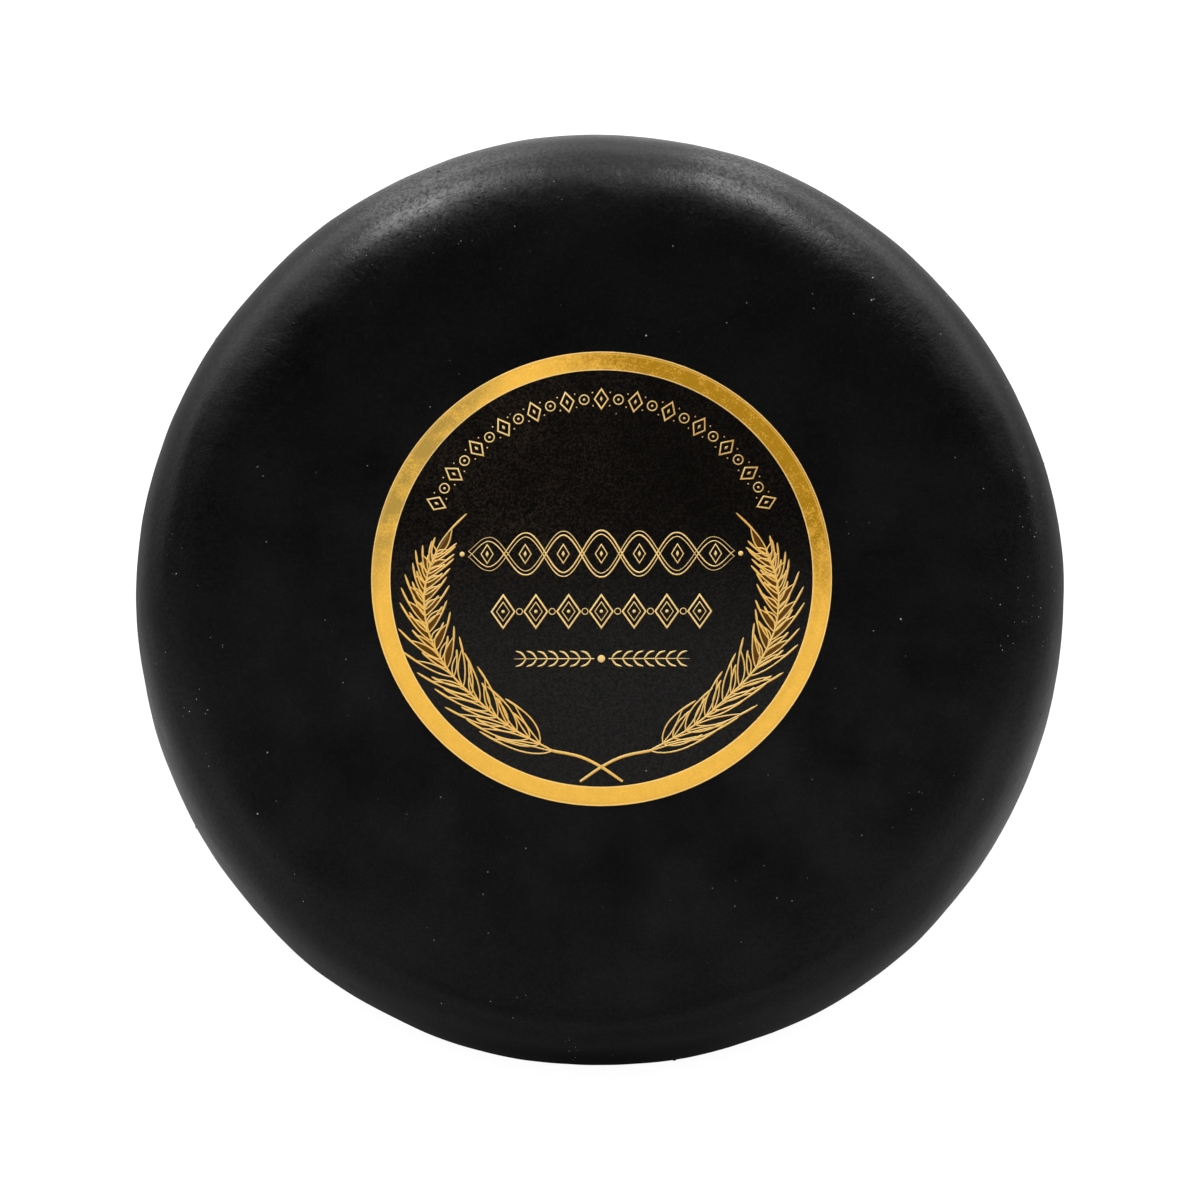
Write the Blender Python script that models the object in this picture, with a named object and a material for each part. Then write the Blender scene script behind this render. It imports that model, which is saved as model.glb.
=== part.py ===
"""A black-waxed cheese wheel with a round label, lying flat on its foot with the label up.

Lengths are in metres and +Z is up. The origin is the middle of the flat foot.
Run it with: blender --background --python part.py
"""

import math

import bmesh
import bpy
from mathutils import Matrix, Vector, noise

# Driving dimensions of the wheel
WHEEL_RADIUS = 0.095
WHEEL_HEIGHT = 0.070
FACE_SQUARENESS = 14.0  # exponent across the face: a higher one makes the flat face wider
SIDE_SQUARENESS = 2.4  # exponent up the side: a higher one makes the side straighter
FOOT_SETTLING = 0.0006  # how much of the rounded underside has flattened into a foot

# Hand-made unevenness of the wheel
RIM_WAVES = (  # waves round the rim, their height as a share of the radius, and their phase
    (2, 0.0034, 3.29),
    (3, 0.0004, -0.50),
    (4, 0.0007, 0.30),
    (5, 0.0024, 2.13),
    (6, 0.0010, 0.05),
)
FACE_SLOPE = math.radians(1.1)  # the wheel is a little taller at the right
FACE_SLOPE_TOWARDS = math.radians(-15)
SWELL_HEIGHT = 0.0007  # soft rises and hollows of the face and side
SWELL_WIDTH = 0.034
SWELL_FLAT_RADIUS = 0.049  # the middle of the face, where the label lies, is flat
SWELL_FULL_RADIUS = 0.080
FOOT_BLEND_HEIGHT = 0.014  # the swells fade out over this height, so that the foot is flat

# Driving dimensions of the label
LABEL_RADIUS = 0.0458
LABEL_THICKNESS = 0.00035
LABEL_BORDER_WIDTH = 0.00385
LABEL_BORDER_RELIEF = 0.00012  # the foil border stands this far above the printed field
LABEL_EDGE_ROUNDING = 0.00008
LABEL_OFFSET = (0.0004, -0.0011)  # it was stuck on slightly off the middle
LABEL_GAP = 0.0003  # clearance that keeps the two solids apart

# Finishes: colour, roughness and metallic value
BLACK_WAX = ((0.006, 0.006, 0.006), 0.42, 0.0)
BLACK_PAPER = ((0.009, 0.007, 0.006), 0.60, 0.0)
GOLD_FOIL = ((0.84, 0.50, 0.10), 0.38, 0.6)

# Fineness of the meshes
WHEEL_SEGMENTS = 96
FACE_RINGS = 4
QUARTER_RINGS = 15
LABEL_SEGMENTS = 128
MERGE_DISTANCE = 1e-7
SHARP_ANGLE = math.radians(35)

FULL_TURN = 2 * math.pi
QUARTER_TURN = math.pi / 2
HALF_SECTION = (WHEEL_HEIGHT + FOOT_SETTLING) / 2
SECTION_MIDDLE = WHEEL_HEIGHT - HALF_SECTION


def clear_scene():
    """Removes whatever the scene holds at the start."""
    for old in list(bpy.data.objects):
        bpy.data.objects.remove(old, do_unlink=True)


def smooth_step(low, high, value):
    """0 below low, 1 above high, and an even curve between."""
    share = min(1.0, max(0.0, (value - low) / (high - low)))
    return share * share * (3 - 2 * share)


def section_point(turn):
    """(radius, height) on the wheel's section, turn radians down from the middle of the face."""
    radius = WHEEL_RADIUS * math.sin(turn) ** (2 / FACE_SQUARENESS)
    rise = HALF_SECTION * abs(math.cos(turn)) ** (2 / SIDE_SQUARENESS)
    return radius, SECTION_MIDDLE + math.copysign(rise, math.cos(turn))


def foot_turn():
    """The turn at which the section meets the plane of the foot."""
    share = (HALF_SECTION - FOOT_SETTLING) / HALF_SECTION
    return math.pi - math.acos(share ** (SIDE_SQUARENESS / 2))


def wheel_profile():
    """The section from the middle of the face, over the shoulder and down the side, to the foot."""
    step = QUARTER_TURN / QUARTER_RINGS
    upper = [section_point(step * i) for i in range(1, QUARTER_RINGS + 1)]
    last = foot_turn()
    lower_count = round((last - QUARTER_TURN) / step)
    lower_step = (last - QUARTER_TURN) / lower_count
    lower = [section_point(QUARTER_TURN + lower_step * i) for i in range(1, lower_count)]
    foot_radius = section_point(last)[0]
    face_edge = upper[0][0]
    face = [(face_edge * i / FACE_RINGS, WHEEL_HEIGHT) for i in range(FACE_RINGS)]
    return [*face, *upper, *lower, (foot_radius, 0.0), (0.0, 0.0)]


def spun_mesh(name, profile, segments):
    """A closed mesh made by turning a profile of (radius, height) points about Z."""
    mesh = bmesh.new()
    line = [mesh.verts.new((radius, 0.0, height)) for radius, height in profile]
    edges = [mesh.edges.new(pair) for pair in zip(line, line[1:])]
    bmesh.ops.spin(
        mesh,
        geom=line + edges,
        cent=(0, 0, 0),
        axis=(0, 0, 1),
        angle=FULL_TURN,
        steps=segments,
        use_merge=True,
    )
    bmesh.ops.remove_doubles(mesh, verts=mesh.verts, dist=MERGE_DISTANCE)
    bmesh.ops.recalc_face_normals(mesh, faces=mesh.faces)
    data = bpy.data.meshes.new(name)
    mesh.to_mesh(data)
    mesh.free()
    return data


def rim_share(angle):
    """How far out the wheel reaches at this angle, as a share of its even radius."""
    return 1 + sum(size * math.cos(count * angle - phase) for count, size, phase in RIM_WAVES)


def face_rise(point):
    """How far the sloping face lies above the even one over this point."""
    uphill = Vector((math.cos(FACE_SLOPE_TOWARDS), math.sin(FACE_SLOPE_TOWARDS)))
    return math.tan(FACE_SLOPE) * uphill.dot(Vector(point[:2]))


def swell(point):
    """How far the soft rises and hollows move this point outwards."""
    radius = math.hypot(point.x, point.y)
    outside_label = smooth_step(SWELL_FLAT_RADIUS, SWELL_FULL_RADIUS, radius)
    above_foot = smooth_step(0.0, FOOT_BLEND_HEIGHT, point.z)
    return SWELL_HEIGHT * noise.noise(point / SWELL_WIDTH) * outside_label * above_foot


def uneven(point):
    """Where a point of the even wheel lies on the hand-made one."""
    share = rim_share(math.atan2(point.y, point.x))
    outwards = (point - Vector((0.0, 0.0, WHEEL_HEIGHT / 2))).normalized()
    moved = Vector((point.x * share, point.y * share, point.z)) + outwards * swell(point)
    moved.z += face_rise(moved) * smooth_step(0.0, WHEEL_HEIGHT, point.z)
    return moved


def make_cheese_wheel():
    """The pressed and waxed cheese: one solid, since nothing is cut from it."""
    data = spun_mesh("cheese_wheel", wheel_profile(), WHEEL_SEGMENTS)
    for vertex in data.vertices:
        vertex.co = uneven(vertex.co)
    return data


def label_profile():
    """The label's section: a thin disc whose foil border stands slightly proud."""
    border_top = LABEL_THICKNESS + LABEL_BORDER_RELIEF
    inner = LABEL_RADIUS - LABEL_BORDER_WIDTH
    return [
        (0.0, LABEL_THICKNESS),
        (inner, LABEL_THICKNESS),
        (inner + LABEL_EDGE_ROUNDING, border_top),
        (LABEL_RADIUS - LABEL_EDGE_ROUNDING, border_top),
        (LABEL_RADIUS, border_top - LABEL_EDGE_ROUNDING),
        (LABEL_RADIUS, 0.0),
        (0.0, 0.0),
    ]


def is_foil(face):
    """True for a face of the label's raised border."""
    return face.center.z > LABEL_THICKNESS + MERGE_DISTANCE


def make_label():
    """The round label, with its underside at the height of its own origin."""
    return spun_mesh("label", label_profile(), LABEL_SEGMENTS)


def finish(name, colour, roughness, metallic):
    """A plain material for one surface."""
    material = bpy.data.materials.new(name)
    material.use_nodes = True
    shader = material.node_tree.nodes["Principled BSDF"]
    shader.inputs["Base Color"].default_value = (*colour, 1.0)
    shader.inputs["Roughness"].default_value = roughness
    shader.inputs["Metallic"].default_value = metallic
    return material


def place(data, materials):
    """Puts a mesh in the scene as an object of the same name."""
    for material in materials:
        data.materials.append(material)
    data.shade_smooth()
    data.set_sharp_from_angle(angle=SHARP_ANGLE)
    made = bpy.data.objects.new(data.name, data)
    bpy.context.scene.collection.objects.link(made)
    return made


def place_wheel():
    """Makes the waxed wheel."""
    place(make_cheese_wheel(), [finish("black_wax", *BLACK_WAX)])


def place_label():
    """Makes the label and lays it on the sloping face."""
    data = make_label()
    materials = [finish("black_paper", *BLACK_PAPER), finish("gold_foil", *GOLD_FOIL)]
    label = place(data, materials)
    for face in data.polygons:
        face.material_index = int(is_foil(face))
    uphill_axis = (-math.sin(FACE_SLOPE_TOWARDS), math.cos(FACE_SLOPE_TOWARDS), 0.0)
    slope = Matrix.Rotation(-FACE_SLOPE, 3, Vector(uphill_axis))
    label.location = (*LABEL_OFFSET, WHEEL_HEIGHT + face_rise(LABEL_OFFSET) + LABEL_GAP)
    label.rotation_euler = slope.to_euler()


def main():
    """Builds the wheel and sticks its label on."""
    clear_scene()
    place_wheel()
    place_label()


main()
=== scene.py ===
"""Dresses a black-waxed cheese wheel and its gold-printed paper label, in a plain studio.

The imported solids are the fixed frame. Each sub-assembly is a class that builds its meshes and dresses
them. Lengths are in metres, +Z is up, and the label faces up with its top towards +Y.
"""

import logging
import math
import random
from collections.abc import Iterable, Sequence
from dataclasses import dataclass, field
from enum import Enum

import bpy
import numpy as np
from mathutils import Matrix, Vector, noise


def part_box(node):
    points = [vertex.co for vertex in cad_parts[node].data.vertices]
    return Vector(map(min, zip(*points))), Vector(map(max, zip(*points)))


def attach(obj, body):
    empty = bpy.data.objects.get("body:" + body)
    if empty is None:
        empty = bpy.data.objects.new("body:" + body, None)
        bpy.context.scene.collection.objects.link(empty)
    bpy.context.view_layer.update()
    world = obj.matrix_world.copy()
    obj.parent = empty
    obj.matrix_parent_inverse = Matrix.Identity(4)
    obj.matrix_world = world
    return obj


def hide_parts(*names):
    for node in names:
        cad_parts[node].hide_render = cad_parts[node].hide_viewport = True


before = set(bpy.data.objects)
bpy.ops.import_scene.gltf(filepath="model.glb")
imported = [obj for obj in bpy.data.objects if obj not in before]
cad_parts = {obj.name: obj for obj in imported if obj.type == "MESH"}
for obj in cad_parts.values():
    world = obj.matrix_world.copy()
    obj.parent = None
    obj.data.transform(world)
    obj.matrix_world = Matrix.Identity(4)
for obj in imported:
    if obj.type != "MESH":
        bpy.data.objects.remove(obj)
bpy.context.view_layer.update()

Colour = tuple[float, float, float]
Flat = tuple[float, float]
Wave = tuple[int, float, float]
Patch = tuple[float, float, float, float]
Face = tuple[int, ...]
Spot = tuple[Vector, Vector]
Box = Sequence[Iterable[float]]
Piece = bpy.types.Object
Socket = bpy.types.NodeSocket
Outputs = bpy.types.NodeOutputs
Feed = Socket | float | tuple[float, ...]

LOG = logging.getLogger("cheese_wheel")
WHEEL_NODE = "cheese_wheel"
LABEL_NODE = "label"
BODY = "root"
MM = 0.001
FULL_TURN = 2 * math.pi
QUARTER_TURN = math.pi / 2


class Slot(Enum):
    """The material slots."""

    WAX = "black_wax"
    PAPER = "black_paper"
    FOIL = "gold_foil"


def smooth_step(low: float, high: float, value: float) -> float:
    """0 below low, 1 above high, and an even curve between."""
    share = min(1.0, max(0.0, (value - low) / (high - low)))
    return share * share * (3 - 2 * share)


def off_axis(point: Vector) -> float:
    """How far a point lies from the wheel's own axis."""
    return math.hypot(point.x, point.y)


def waves(angle: float, parts: Iterable[Wave]) -> float:
    """The height that some waves round the rim add up to, from each one's count, height and phase."""
    return sum(size * math.cos(count * angle - phase) for count, size, phase in parts)


def even_turns(count: int) -> list[float]:
    """Even angles round a circle."""
    return [FULL_TURN * index / count for index in range(count)]


def polar(angle: float, radius: float) -> Vector:
    """The point at an angle and a distance."""
    return Vector((math.cos(angle), math.sin(angle))) * radius


def band(near: int, far: int, size: int) -> list[Face]:
    """Joins two closed rows of points.

    Args:
        near: The first point of the upper row.
        far: The first point of the lower row.
        size: How many points each row has.

    Returns:
        The four-cornered faces between them, facing out.
    """
    after = [(index + 1) % size for index in range(size)]
    return [(near + i, far + i, far + after[i], near + after[i]) for i in range(size)]


class Graph:
    """Adds nodes to one node tree and links them."""

    def __init__(self, tree: bpy.types.NodeTree) -> None:
        """Keeps the tree that the nodes go into."""
        self.tree = tree

    def node(self, kind: str, **settings: object) -> bpy.types.Node:
        """Adds a node.

        Args:
            kind: The node's type without its ShaderNode prefix.
            settings: Attributes to set on it.

        Returns:
            The new node.
        """
        made = self.tree.nodes.new(f"ShaderNode{kind}")
        for name, value in settings.items():
            setattr(made, name, value)
        return made

    def feed(self, socket: Socket, value: Feed) -> None:
        """Links or sets a socket.

        Args:
            socket: The input socket.
            value: An output to link to it, or a plain value to set on it.
        """
        if isinstance(value, Socket):
            self.tree.links.new(value, socket)
        else:
            socket.default_value = value

    def math(self, operation: str, *values: Feed, clamp: bool = False) -> Socket:
        """Adds a Math node.

        Args:
            operation: Its operation, such as ADD.
            values: What its inputs take.
            clamp: Whether the result is kept from 0 to 1.

        Returns:
            Its result.
        """
        made = self.node("Math", operation=operation, use_clamp=clamp)
        for socket, value in zip(made.inputs, values):
            self.feed(socket, value)
        return made.outputs["Value"]

    def times(self, first: Feed, *others: Feed) -> Socket:
        """Multiplies some values.

        Args:
            first: The first value.
            others: The values that it is multiplied by, in turn.

        Returns:
            Their product.
        """
        for other in others:
            first = self.math("MULTIPLY", first, other)
        return first

    def vector(self, operation: str, *values: Feed) -> Socket:
        """Adds a Vector Math node.

        Args:
            operation: Its operation, such as ADD.
            values: What its inputs take.

        Returns:
            Its result, which is one number for LENGTH and DOT_PRODUCT.
        """
        made = self.node("VectorMath", operation=operation)
        for socket, value in zip(made.inputs, values):
            self.feed(socket, value)
        return made.outputs["Value" if operation in ("LENGTH", "DOT_PRODUCT") else "Vector"]

    def split(self, place: Feed) -> Outputs:
        """The X, Y and Z of a place.

        Args:
            place: The place.

        Returns:
            The three outputs, by name.
        """
        made = self.node("SeparateXYZ")
        self.feed(made.inputs["Vector"], place)
        return made.outputs

    def mix(self, share: Feed, first: Feed, second: Feed) -> Socket:
        """Mixes two colours.

        Args:
            share: How much of the second colour shows.
            first: The first colour.
            second: The second colour.

        Returns:
            The mixed colour.
        """
        made = self.node("Mix", data_type="RGBA")
        for index, value in ((0, share), (6, first), (7, second)):
            self.feed(made.inputs[index], (*value, 1.0) if isinstance(value, tuple) else value)
        return made.outputs[2]

    def remap(self, value: Feed, span: Flat = (0.0, 1.0), to: Flat = (0.0, 1.0)) -> Socket:
        """Eases a value from one range to another, with a soft start and a soft end.

        Args:
            value: What is remapped.
            span: The values that become the two ends of the new range.
            to: The two ends of the new range.

        Returns:
            The remapped value, kept inside the new range.
        """
        made = self.node("MapRange", interpolation_type="SMOOTHSTEP")
        for name, fed in zip(("Value", "From Min", "From Max", "To Min", "To Max"), (value, *span, *to)):
            self.feed(made.inputs[name], fed)
        return made.outputs["Result"]

    def profile(self, value: Feed, stops: Sequence[Flat]) -> Socket:
        """Reads a curve that is made of straight spans.

        Args:
            value: Where the curve is read, from -1 to 1.
            stops: Its (position, height) points, in rising order.

        Returns:
            The curve's height there.
        """
        made = self.node("ValToRGB")
        ramp = made.color_ramp
        for _ in stops[2:]:
            ramp.elements.new(1.0)
        for element, (position, height) in zip(ramp.elements, stops):
            element.position = (position + 1) / 2
            element.color = (height, height, height, 1.0)
        self.feed(made.inputs["Fac"], self.math("MULTIPLY_ADD", value, 0.5, 0.5))
        return made.outputs["Color"]

    def noise(self, place: Feed, scale: Feed, detail: float = 2.0, rough: float = 0.5) -> Socket:
        """Adds fractal noise.

        Args:
            place: Where it is read.
            scale: Its features per metre.
            detail: Its octaves.
            rough: How strong the finer octaves are.

        Returns:
            Its value, from 0 to 1.
        """
        made = self.node("TexNoise")
        for name, fed in (("Vector", place), ("Scale", scale), ("Detail", detail), ("Roughness", rough)):
            self.feed(made.inputs[name], fed)
        return made.outputs[0]

    def use(self, group: bpy.types.NodeTree, **inputs: Feed) -> Outputs:
        """Places a node group.

        Args:
            group: The group.
            inputs: Its input values, with underscores for spaces.

        Returns:
            The group's outputs.
        """
        made = self.node("Group", node_tree=group)
        for name, value in inputs.items():
            self.feed(made.inputs[name.replace("_", " ")], value)
        return made.outputs

    def place(self) -> Socket:
        """Where each point lies on its own piece, in metres."""
        return self.node("TexCoord").outputs["Object"]

    def painted(self, attribute: str) -> Socket:
        """A value that the mesh carries from point to point."""
        return self.node("Attribute", attribute_name=attribute).outputs["Fac"]


@dataclass
class SharedEffects:
    """The node groups that more than one finish uses, each built once."""

    grain: bpy.types.NodeTree = field(init=False)
    mottle: bpy.types.NodeTree = field(init=False)
    dust: bpy.types.NodeTree = field(init=False)
    rim_line: bpy.types.NodeTree = field(init=False)

    def __post_init__(self) -> None:
        """Builds the groups."""
        self.grain = self.build_grain()
        self.mottle = self.build_mottle()
        self.dust = self.build_dust()
        self.rim_line = self.build_rim_line()

    @staticmethod
    def start(
        name: str, values: Sequence[str], result: Sequence[str]
    ) -> tuple[Graph, Outputs, bpy.types.NodeInputs]:
        """Begins a group that reads a place and some values.

        Args:
            name: The group's name.
            values: Its value inputs, after Place.
            result: Its value outputs.

        Returns:
            Its graph, what it is given, and the sockets that take its results.
        """
        tree = bpy.data.node_groups.new(name, "ShaderNodeTree")
        tree.interface.new_socket("Place", in_out="INPUT", socket_type="NodeSocketVector")
        for way, labels in (("INPUT", values), ("OUTPUT", result)):
            for label in labels:
                tree.interface.new_socket(label, in_out=way, socket_type="NodeSocketFloat")
        start, end = (tree.nodes.new(f"NodeGroup{way}") for way in ("Input", "Output"))
        return Graph(tree), start.outputs, end.inputs

    def build_grain(self) -> bpy.types.NodeTree:
        """Fine grain in two sizes.

        Returns:
            A group that gives a height from 0 to 1, and a harder tone from 0 to 1.
        """
        graph, given, result = self.start("surface_grain", ("Grain Size", "Fine Share"), ("Height", "Tone"))
        scale = graph.math("DIVIDE", 1.0, given["Grain Size"])
        coarse = graph.noise(given["Place"], scale, detail=1.0)
        fine = graph.noise(given["Place"], graph.times(scale, 2.6), detail=1.0)
        spread = graph.times(graph.math("SUBTRACT", fine, coarse), given["Fine Share"])
        height = graph.math("ADD", coarse, spread)
        graph.feed(result["Height"], height)
        graph.feed(result["Tone"], graph.remap(height, (0.34, 0.66)))
        return graph.tree

    def build_mottle(self) -> bpy.types.NodeTree:
        """Soft cloudy patches.

        Returns:
            A group that gives a mask from 0 to 1.
        """
        graph, given, result = self.start("soft_mottle", ("Patch Size", "Contrast"), ("Mask",))
        scale = graph.math("DIVIDE", 1.0, given["Patch Size"])
        clouds = graph.noise(given["Place"], scale, detail=3.0, rough=0.55)
        spread = graph.times(graph.math("SUBTRACT", clouds, 0.5), given["Contrast"])
        graph.feed(result["Mask"], graph.math("ADD", spread, 0.5, clamp=True))
        return graph.tree

    def build_dust(self) -> bpy.types.NodeTree:
        """Scattered round specks of dust.

        Returns:
            A group that gives 1 on a speck and 0 between them.
        """
        graph, given, result = self.start("dust_specks", ("Spacing", "Speck Share", "Amount"), ("Mask",))
        cells = graph.node("TexVoronoi")
        graph.feed(cells.inputs["Vector"], given["Place"])
        graph.feed(cells.inputs["Scale"], graph.math("DIVIDE", 1.0, given["Spacing"]))
        draw = graph.node("SeparateColor")
        graph.feed(draw.inputs["Color"], cells.outputs["Color"])
        reach = graph.times(given["Speck Share"], draw.outputs["Red"])
        inside = graph.math("LESS_THAN", cells.outputs["Distance"], reach)
        chosen = graph.math("LESS_THAN", draw.outputs["Green"], given["Amount"])
        graph.feed(result["Mask"], graph.times(inside, chosen))
        return graph.tree

    def build_rim_line(self) -> bpy.types.NodeTree:
        """A soft ring at one distance from the piece's own Z axis.

        Returns:
            A group that gives 1 on the ring's middle and 0 away from it.
        """
        graph, given, result = self.start("rim_line", ("Radius", "Width"), ("Mask",))
        distance = graph.vector("LENGTH", graph.vector("MULTIPLY", given["Place"], (1.0, 1.0, 0.0)))
        off = graph.math("ABSOLUTE", graph.math("SUBTRACT", distance, given["Radius"]))
        share = graph.math("DIVIDE", off, given["Width"], clamp=True)
        graph.feed(result["Mask"], graph.math("SUBTRACT", 1.0, share))
        return graph.tree


class Finish:
    """Begins a material whose Principled shader the subclasses feed."""

    def __init__(self, name: str, effects: SharedEffects) -> None:
        """Makes the material.

        Args:
            name: The material's name.
            effects: The shared node groups.
        """
        self.material = bpy.data.materials.new(name)
        self.material.use_nodes = True
        self.graph = Graph(self.material.node_tree)
        self.shader = self.material.node_tree.nodes["Principled BSDF"]
        self.effects = effects
        self.where = self.graph.place()

    def set(self, name: str, value: Feed) -> None:
        """Sets or links one of the shader's inputs."""
        self.graph.feed(self.shader.inputs[name], value)

    def bump(self, height: Feed) -> None:
        """Turns a height into the shader's normal.

        Args:
            height: The height, in metres.
        """
        bump = self.graph.node("Bump")
        for name, value in (("Strength", 1.0), ("Distance", 1.0), ("Height", height)):
            self.graph.feed(bump.inputs[name], value)
        self.set("Normal", bump.outputs["Normal"])

    def grain(self, size: float, fine_share: float) -> Outputs:
        """Fine grain of one size, with its Height and its Tone."""
        return self.graph.use(self.effects.grain, Place=self.where, Grain_Size=size, Fine_Share=fine_share)

    def mottle(self, size: float, contrast: float) -> Socket:
        """Cloudy patches of one size, from 0 to 1."""
        made = self.graph.use(self.effects.mottle, Place=self.where, Patch_Size=size, Contrast=contrast)
        return made["Mask"]

    def ring(self, radius: float, width: float) -> Socket:
        """A soft ring round the piece's own axis, 1 on its middle."""
        return self.graph.use(self.effects.rim_line, Place=self.where, Radius=radius, Width=width)["Mask"]

    def specks(self, spacing: float, share: float, amount: float) -> Socket:
        """Dust specks.

        Args:
            spacing: The size of the cells that a speck can lie in.
            share: The largest speck's radius, as a share of the spacing.
            amount: The share of the cells that have a speck.

        Returns:
            A mask that is 1 on a speck.
        """
        dust = self.effects.dust
        made = self.graph.use(dust, Place=self.where, Spacing=spacing, Speck_Share=share, Amount=amount)
        return made["Mask"]


@dataclass(frozen=True)
class WaxLook:
    """The values of satin black cheese wax.

    Patches have a size and a contrast. Specks have a spacing, their largest radius as a share of it,
    and the share of places that have one. A span gives the two places where a share begins and ends.
    """

    deep: Colour = (0.0007, 0.0007, 0.0008)
    # The bloom's colour, which also serves as painted light towards the front of the face.
    bloom_and_painted_light: Colour = (0.0042, 0.0041, 0.0041)
    bloom_patches: Flat = (16 * MM, 2.6)
    # Where the painted light begins and where it is full, along Y, and its share at each end.
    painted_light_span: Flat = (62 * MM, -45 * MM)
    painted_light_share: Flat = (0.15, 1.0)
    # Painted shade in the hollows between the pulled streaks.
    painted_streak_shade: Colour = (0.0004, 0.0004, 0.0004)
    dust: Colour = (0.30, 0.30, 0.29)
    dust_specks: tuple[float, float, float] = (2.4 * MM, 0.09, 0.10)
    ior: float = 1.45
    gloss: Flat = (0.17, 0.25)
    gloss_shares: Flat = (0.6, 0.4)
    grain_size: float = 0.44 * MM
    grain_fine: float = 0.35
    grain_patches: Flat = (9 * MM, 2.4)
    grain_depths: Flat = (0.030 * MM, 0.072 * MM)
    pebble_size: float = 0.80 * MM
    pebble_fine: float = 0.5
    pebble_patches: Flat = (4 * MM, 2.6)
    pebble_share: Flat = (0.4, 1.2)
    pebble_depth: float = 0.150 * MM
    ripple_size: float = 2.6 * MM
    ripple_depth: float = 0.06 * MM
    pull_width_share: float = 70.0
    pull_length: float = 5.0 * MM
    pull_depth: float = 0.04 * MM
    pull_span: Flat = (0.50, 0.70)
    sheen: Flat = (0.20, 1.10)
    sheen_gloss: float = 0.34
    sheen_ior: float = 1.62


class WaxFinish(Finish):
    """Black wax with a pebbled skin, soft bloom, dust, and marks pulled towards the rim, with painted light
    towards the front of the face and painted shade in the marks' hollows.
    """

    def __init__(self, effects: SharedEffects, look: WaxLook, marks: str, pebbles: str) -> None:
        """Builds the material.

        Args:
            effects: The shared node groups.
            look: The wax's values.
            marks: The mesh attribute that says how strong the pulled marks are.
            pebbles: The mesh attribute that says how strong the pebbled skin is.
        """
        super().__init__("satin_black_wax", effects)
        self.look = look
        graph = self.graph
        strength = graph.painted(marks)
        pebbled = graph.painted(pebbles)
        pulls = self.pulls()
        grain = self.grain(look.grain_size, look.grain_fine)
        pebble = self.grain(look.pebble_size, look.pebble_fine)
        clouds = self.mottle(*look.bloom_patches)
        self.set("Base Color", self.colour(clouds, strength, pulls))
        cloud_share, grain_share = look.gloss_shares
        shine = graph.math("ADD", graph.times(clouds, cloud_share), graph.times(grain["Tone"], grain_share))
        self.set("Roughness", graph.remap(shine, to=look.gloss))
        self.set("IOR", look.ior)
        sheen = graph.remap(pebbled, to=look.sheen)
        self.set("Coat Weight", graph.math("MULTIPLY", sheen, pebble["Tone"], clamp=True))
        self.set("Coat Roughness", look.sheen_gloss)
        self.set("Coat IOR", look.sheen_ior)
        grain_depth = graph.remap(self.mottle(*look.grain_patches), to=look.grain_depths)
        relief = graph.times(grain["Height"], grain_depth)
        ripple = graph.noise(self.where, 1 / look.ripple_size, detail=1.0)
        relief = graph.math("MULTIPLY_ADD", ripple, look.ripple_depth, relief)
        relief = graph.math("ADD", relief, graph.times(pulls, look.pull_depth, strength))
        broken = graph.remap(self.mottle(*look.pebble_patches), to=look.pebble_share)
        depth = graph.times(broken, pebbled, look.pebble_depth)
        self.bump(graph.math("MULTIPLY_ADD", pebble["Height"], depth, relief))

    def colour(self, clouds: Socket, strength: Socket, pulls: Socket) -> Socket:
        """The wax's colour: its bloom, painted light that grows towards the front of the face, painted
        shade in the hollows of the pulled marks, and dust.

        Args:
            clouds: The patches of the bloom.
            strength: How strong the marks are.
            pulls: The marks.

        Returns:
            The colour.
        """
        graph, look = self.graph, self.look
        # Painted light: the bloom colour grows along -Y, towards the front of the face.
        lower = graph.remap(graph.split(self.where)["Y"], look.painted_light_span, look.painted_light_share)
        tone = graph.mix(graph.times(clouds, lower), look.deep, look.bloom_and_painted_light)
        # Painted shade in the hollows between the raised streaks.
        painted_streak_shade = graph.math("MULTIPLY", strength, graph.math("SUBTRACT", 1.0, pulls), clamp=True)
        tone = graph.mix(painted_streak_shade, tone, look.painted_streak_shade)
        return graph.mix(self.specks(*look.dust_specks), tone, look.dust)

    def pulls(self) -> Socket:
        """Streaks that run outwards over the face and down the side.

        Returns:
            A height from 0 to 1.
        """
        graph, look = self.graph, self.look
        flat = graph.vector("MULTIPLY", self.where, (1.0, 1.0, 0.0))
        along = graph.math("SUBTRACT", graph.vector("LENGTH", flat), graph.split(self.where)["Z"])
        turned = graph.vector("MULTIPLY", graph.vector("NORMALIZE", flat), (look.pull_width_share,) * 3)
        lift = graph.node("CombineXYZ")
        graph.feed(lift.inputs["Z"], graph.math("DIVIDE", along, look.pull_length))
        streaks = graph.noise(graph.vector("ADD", turned, lift.outputs["Vector"]), 1.0, detail=2.5)
        return graph.remap(streaks, look.pull_span, (1.0, 0.0))


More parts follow.
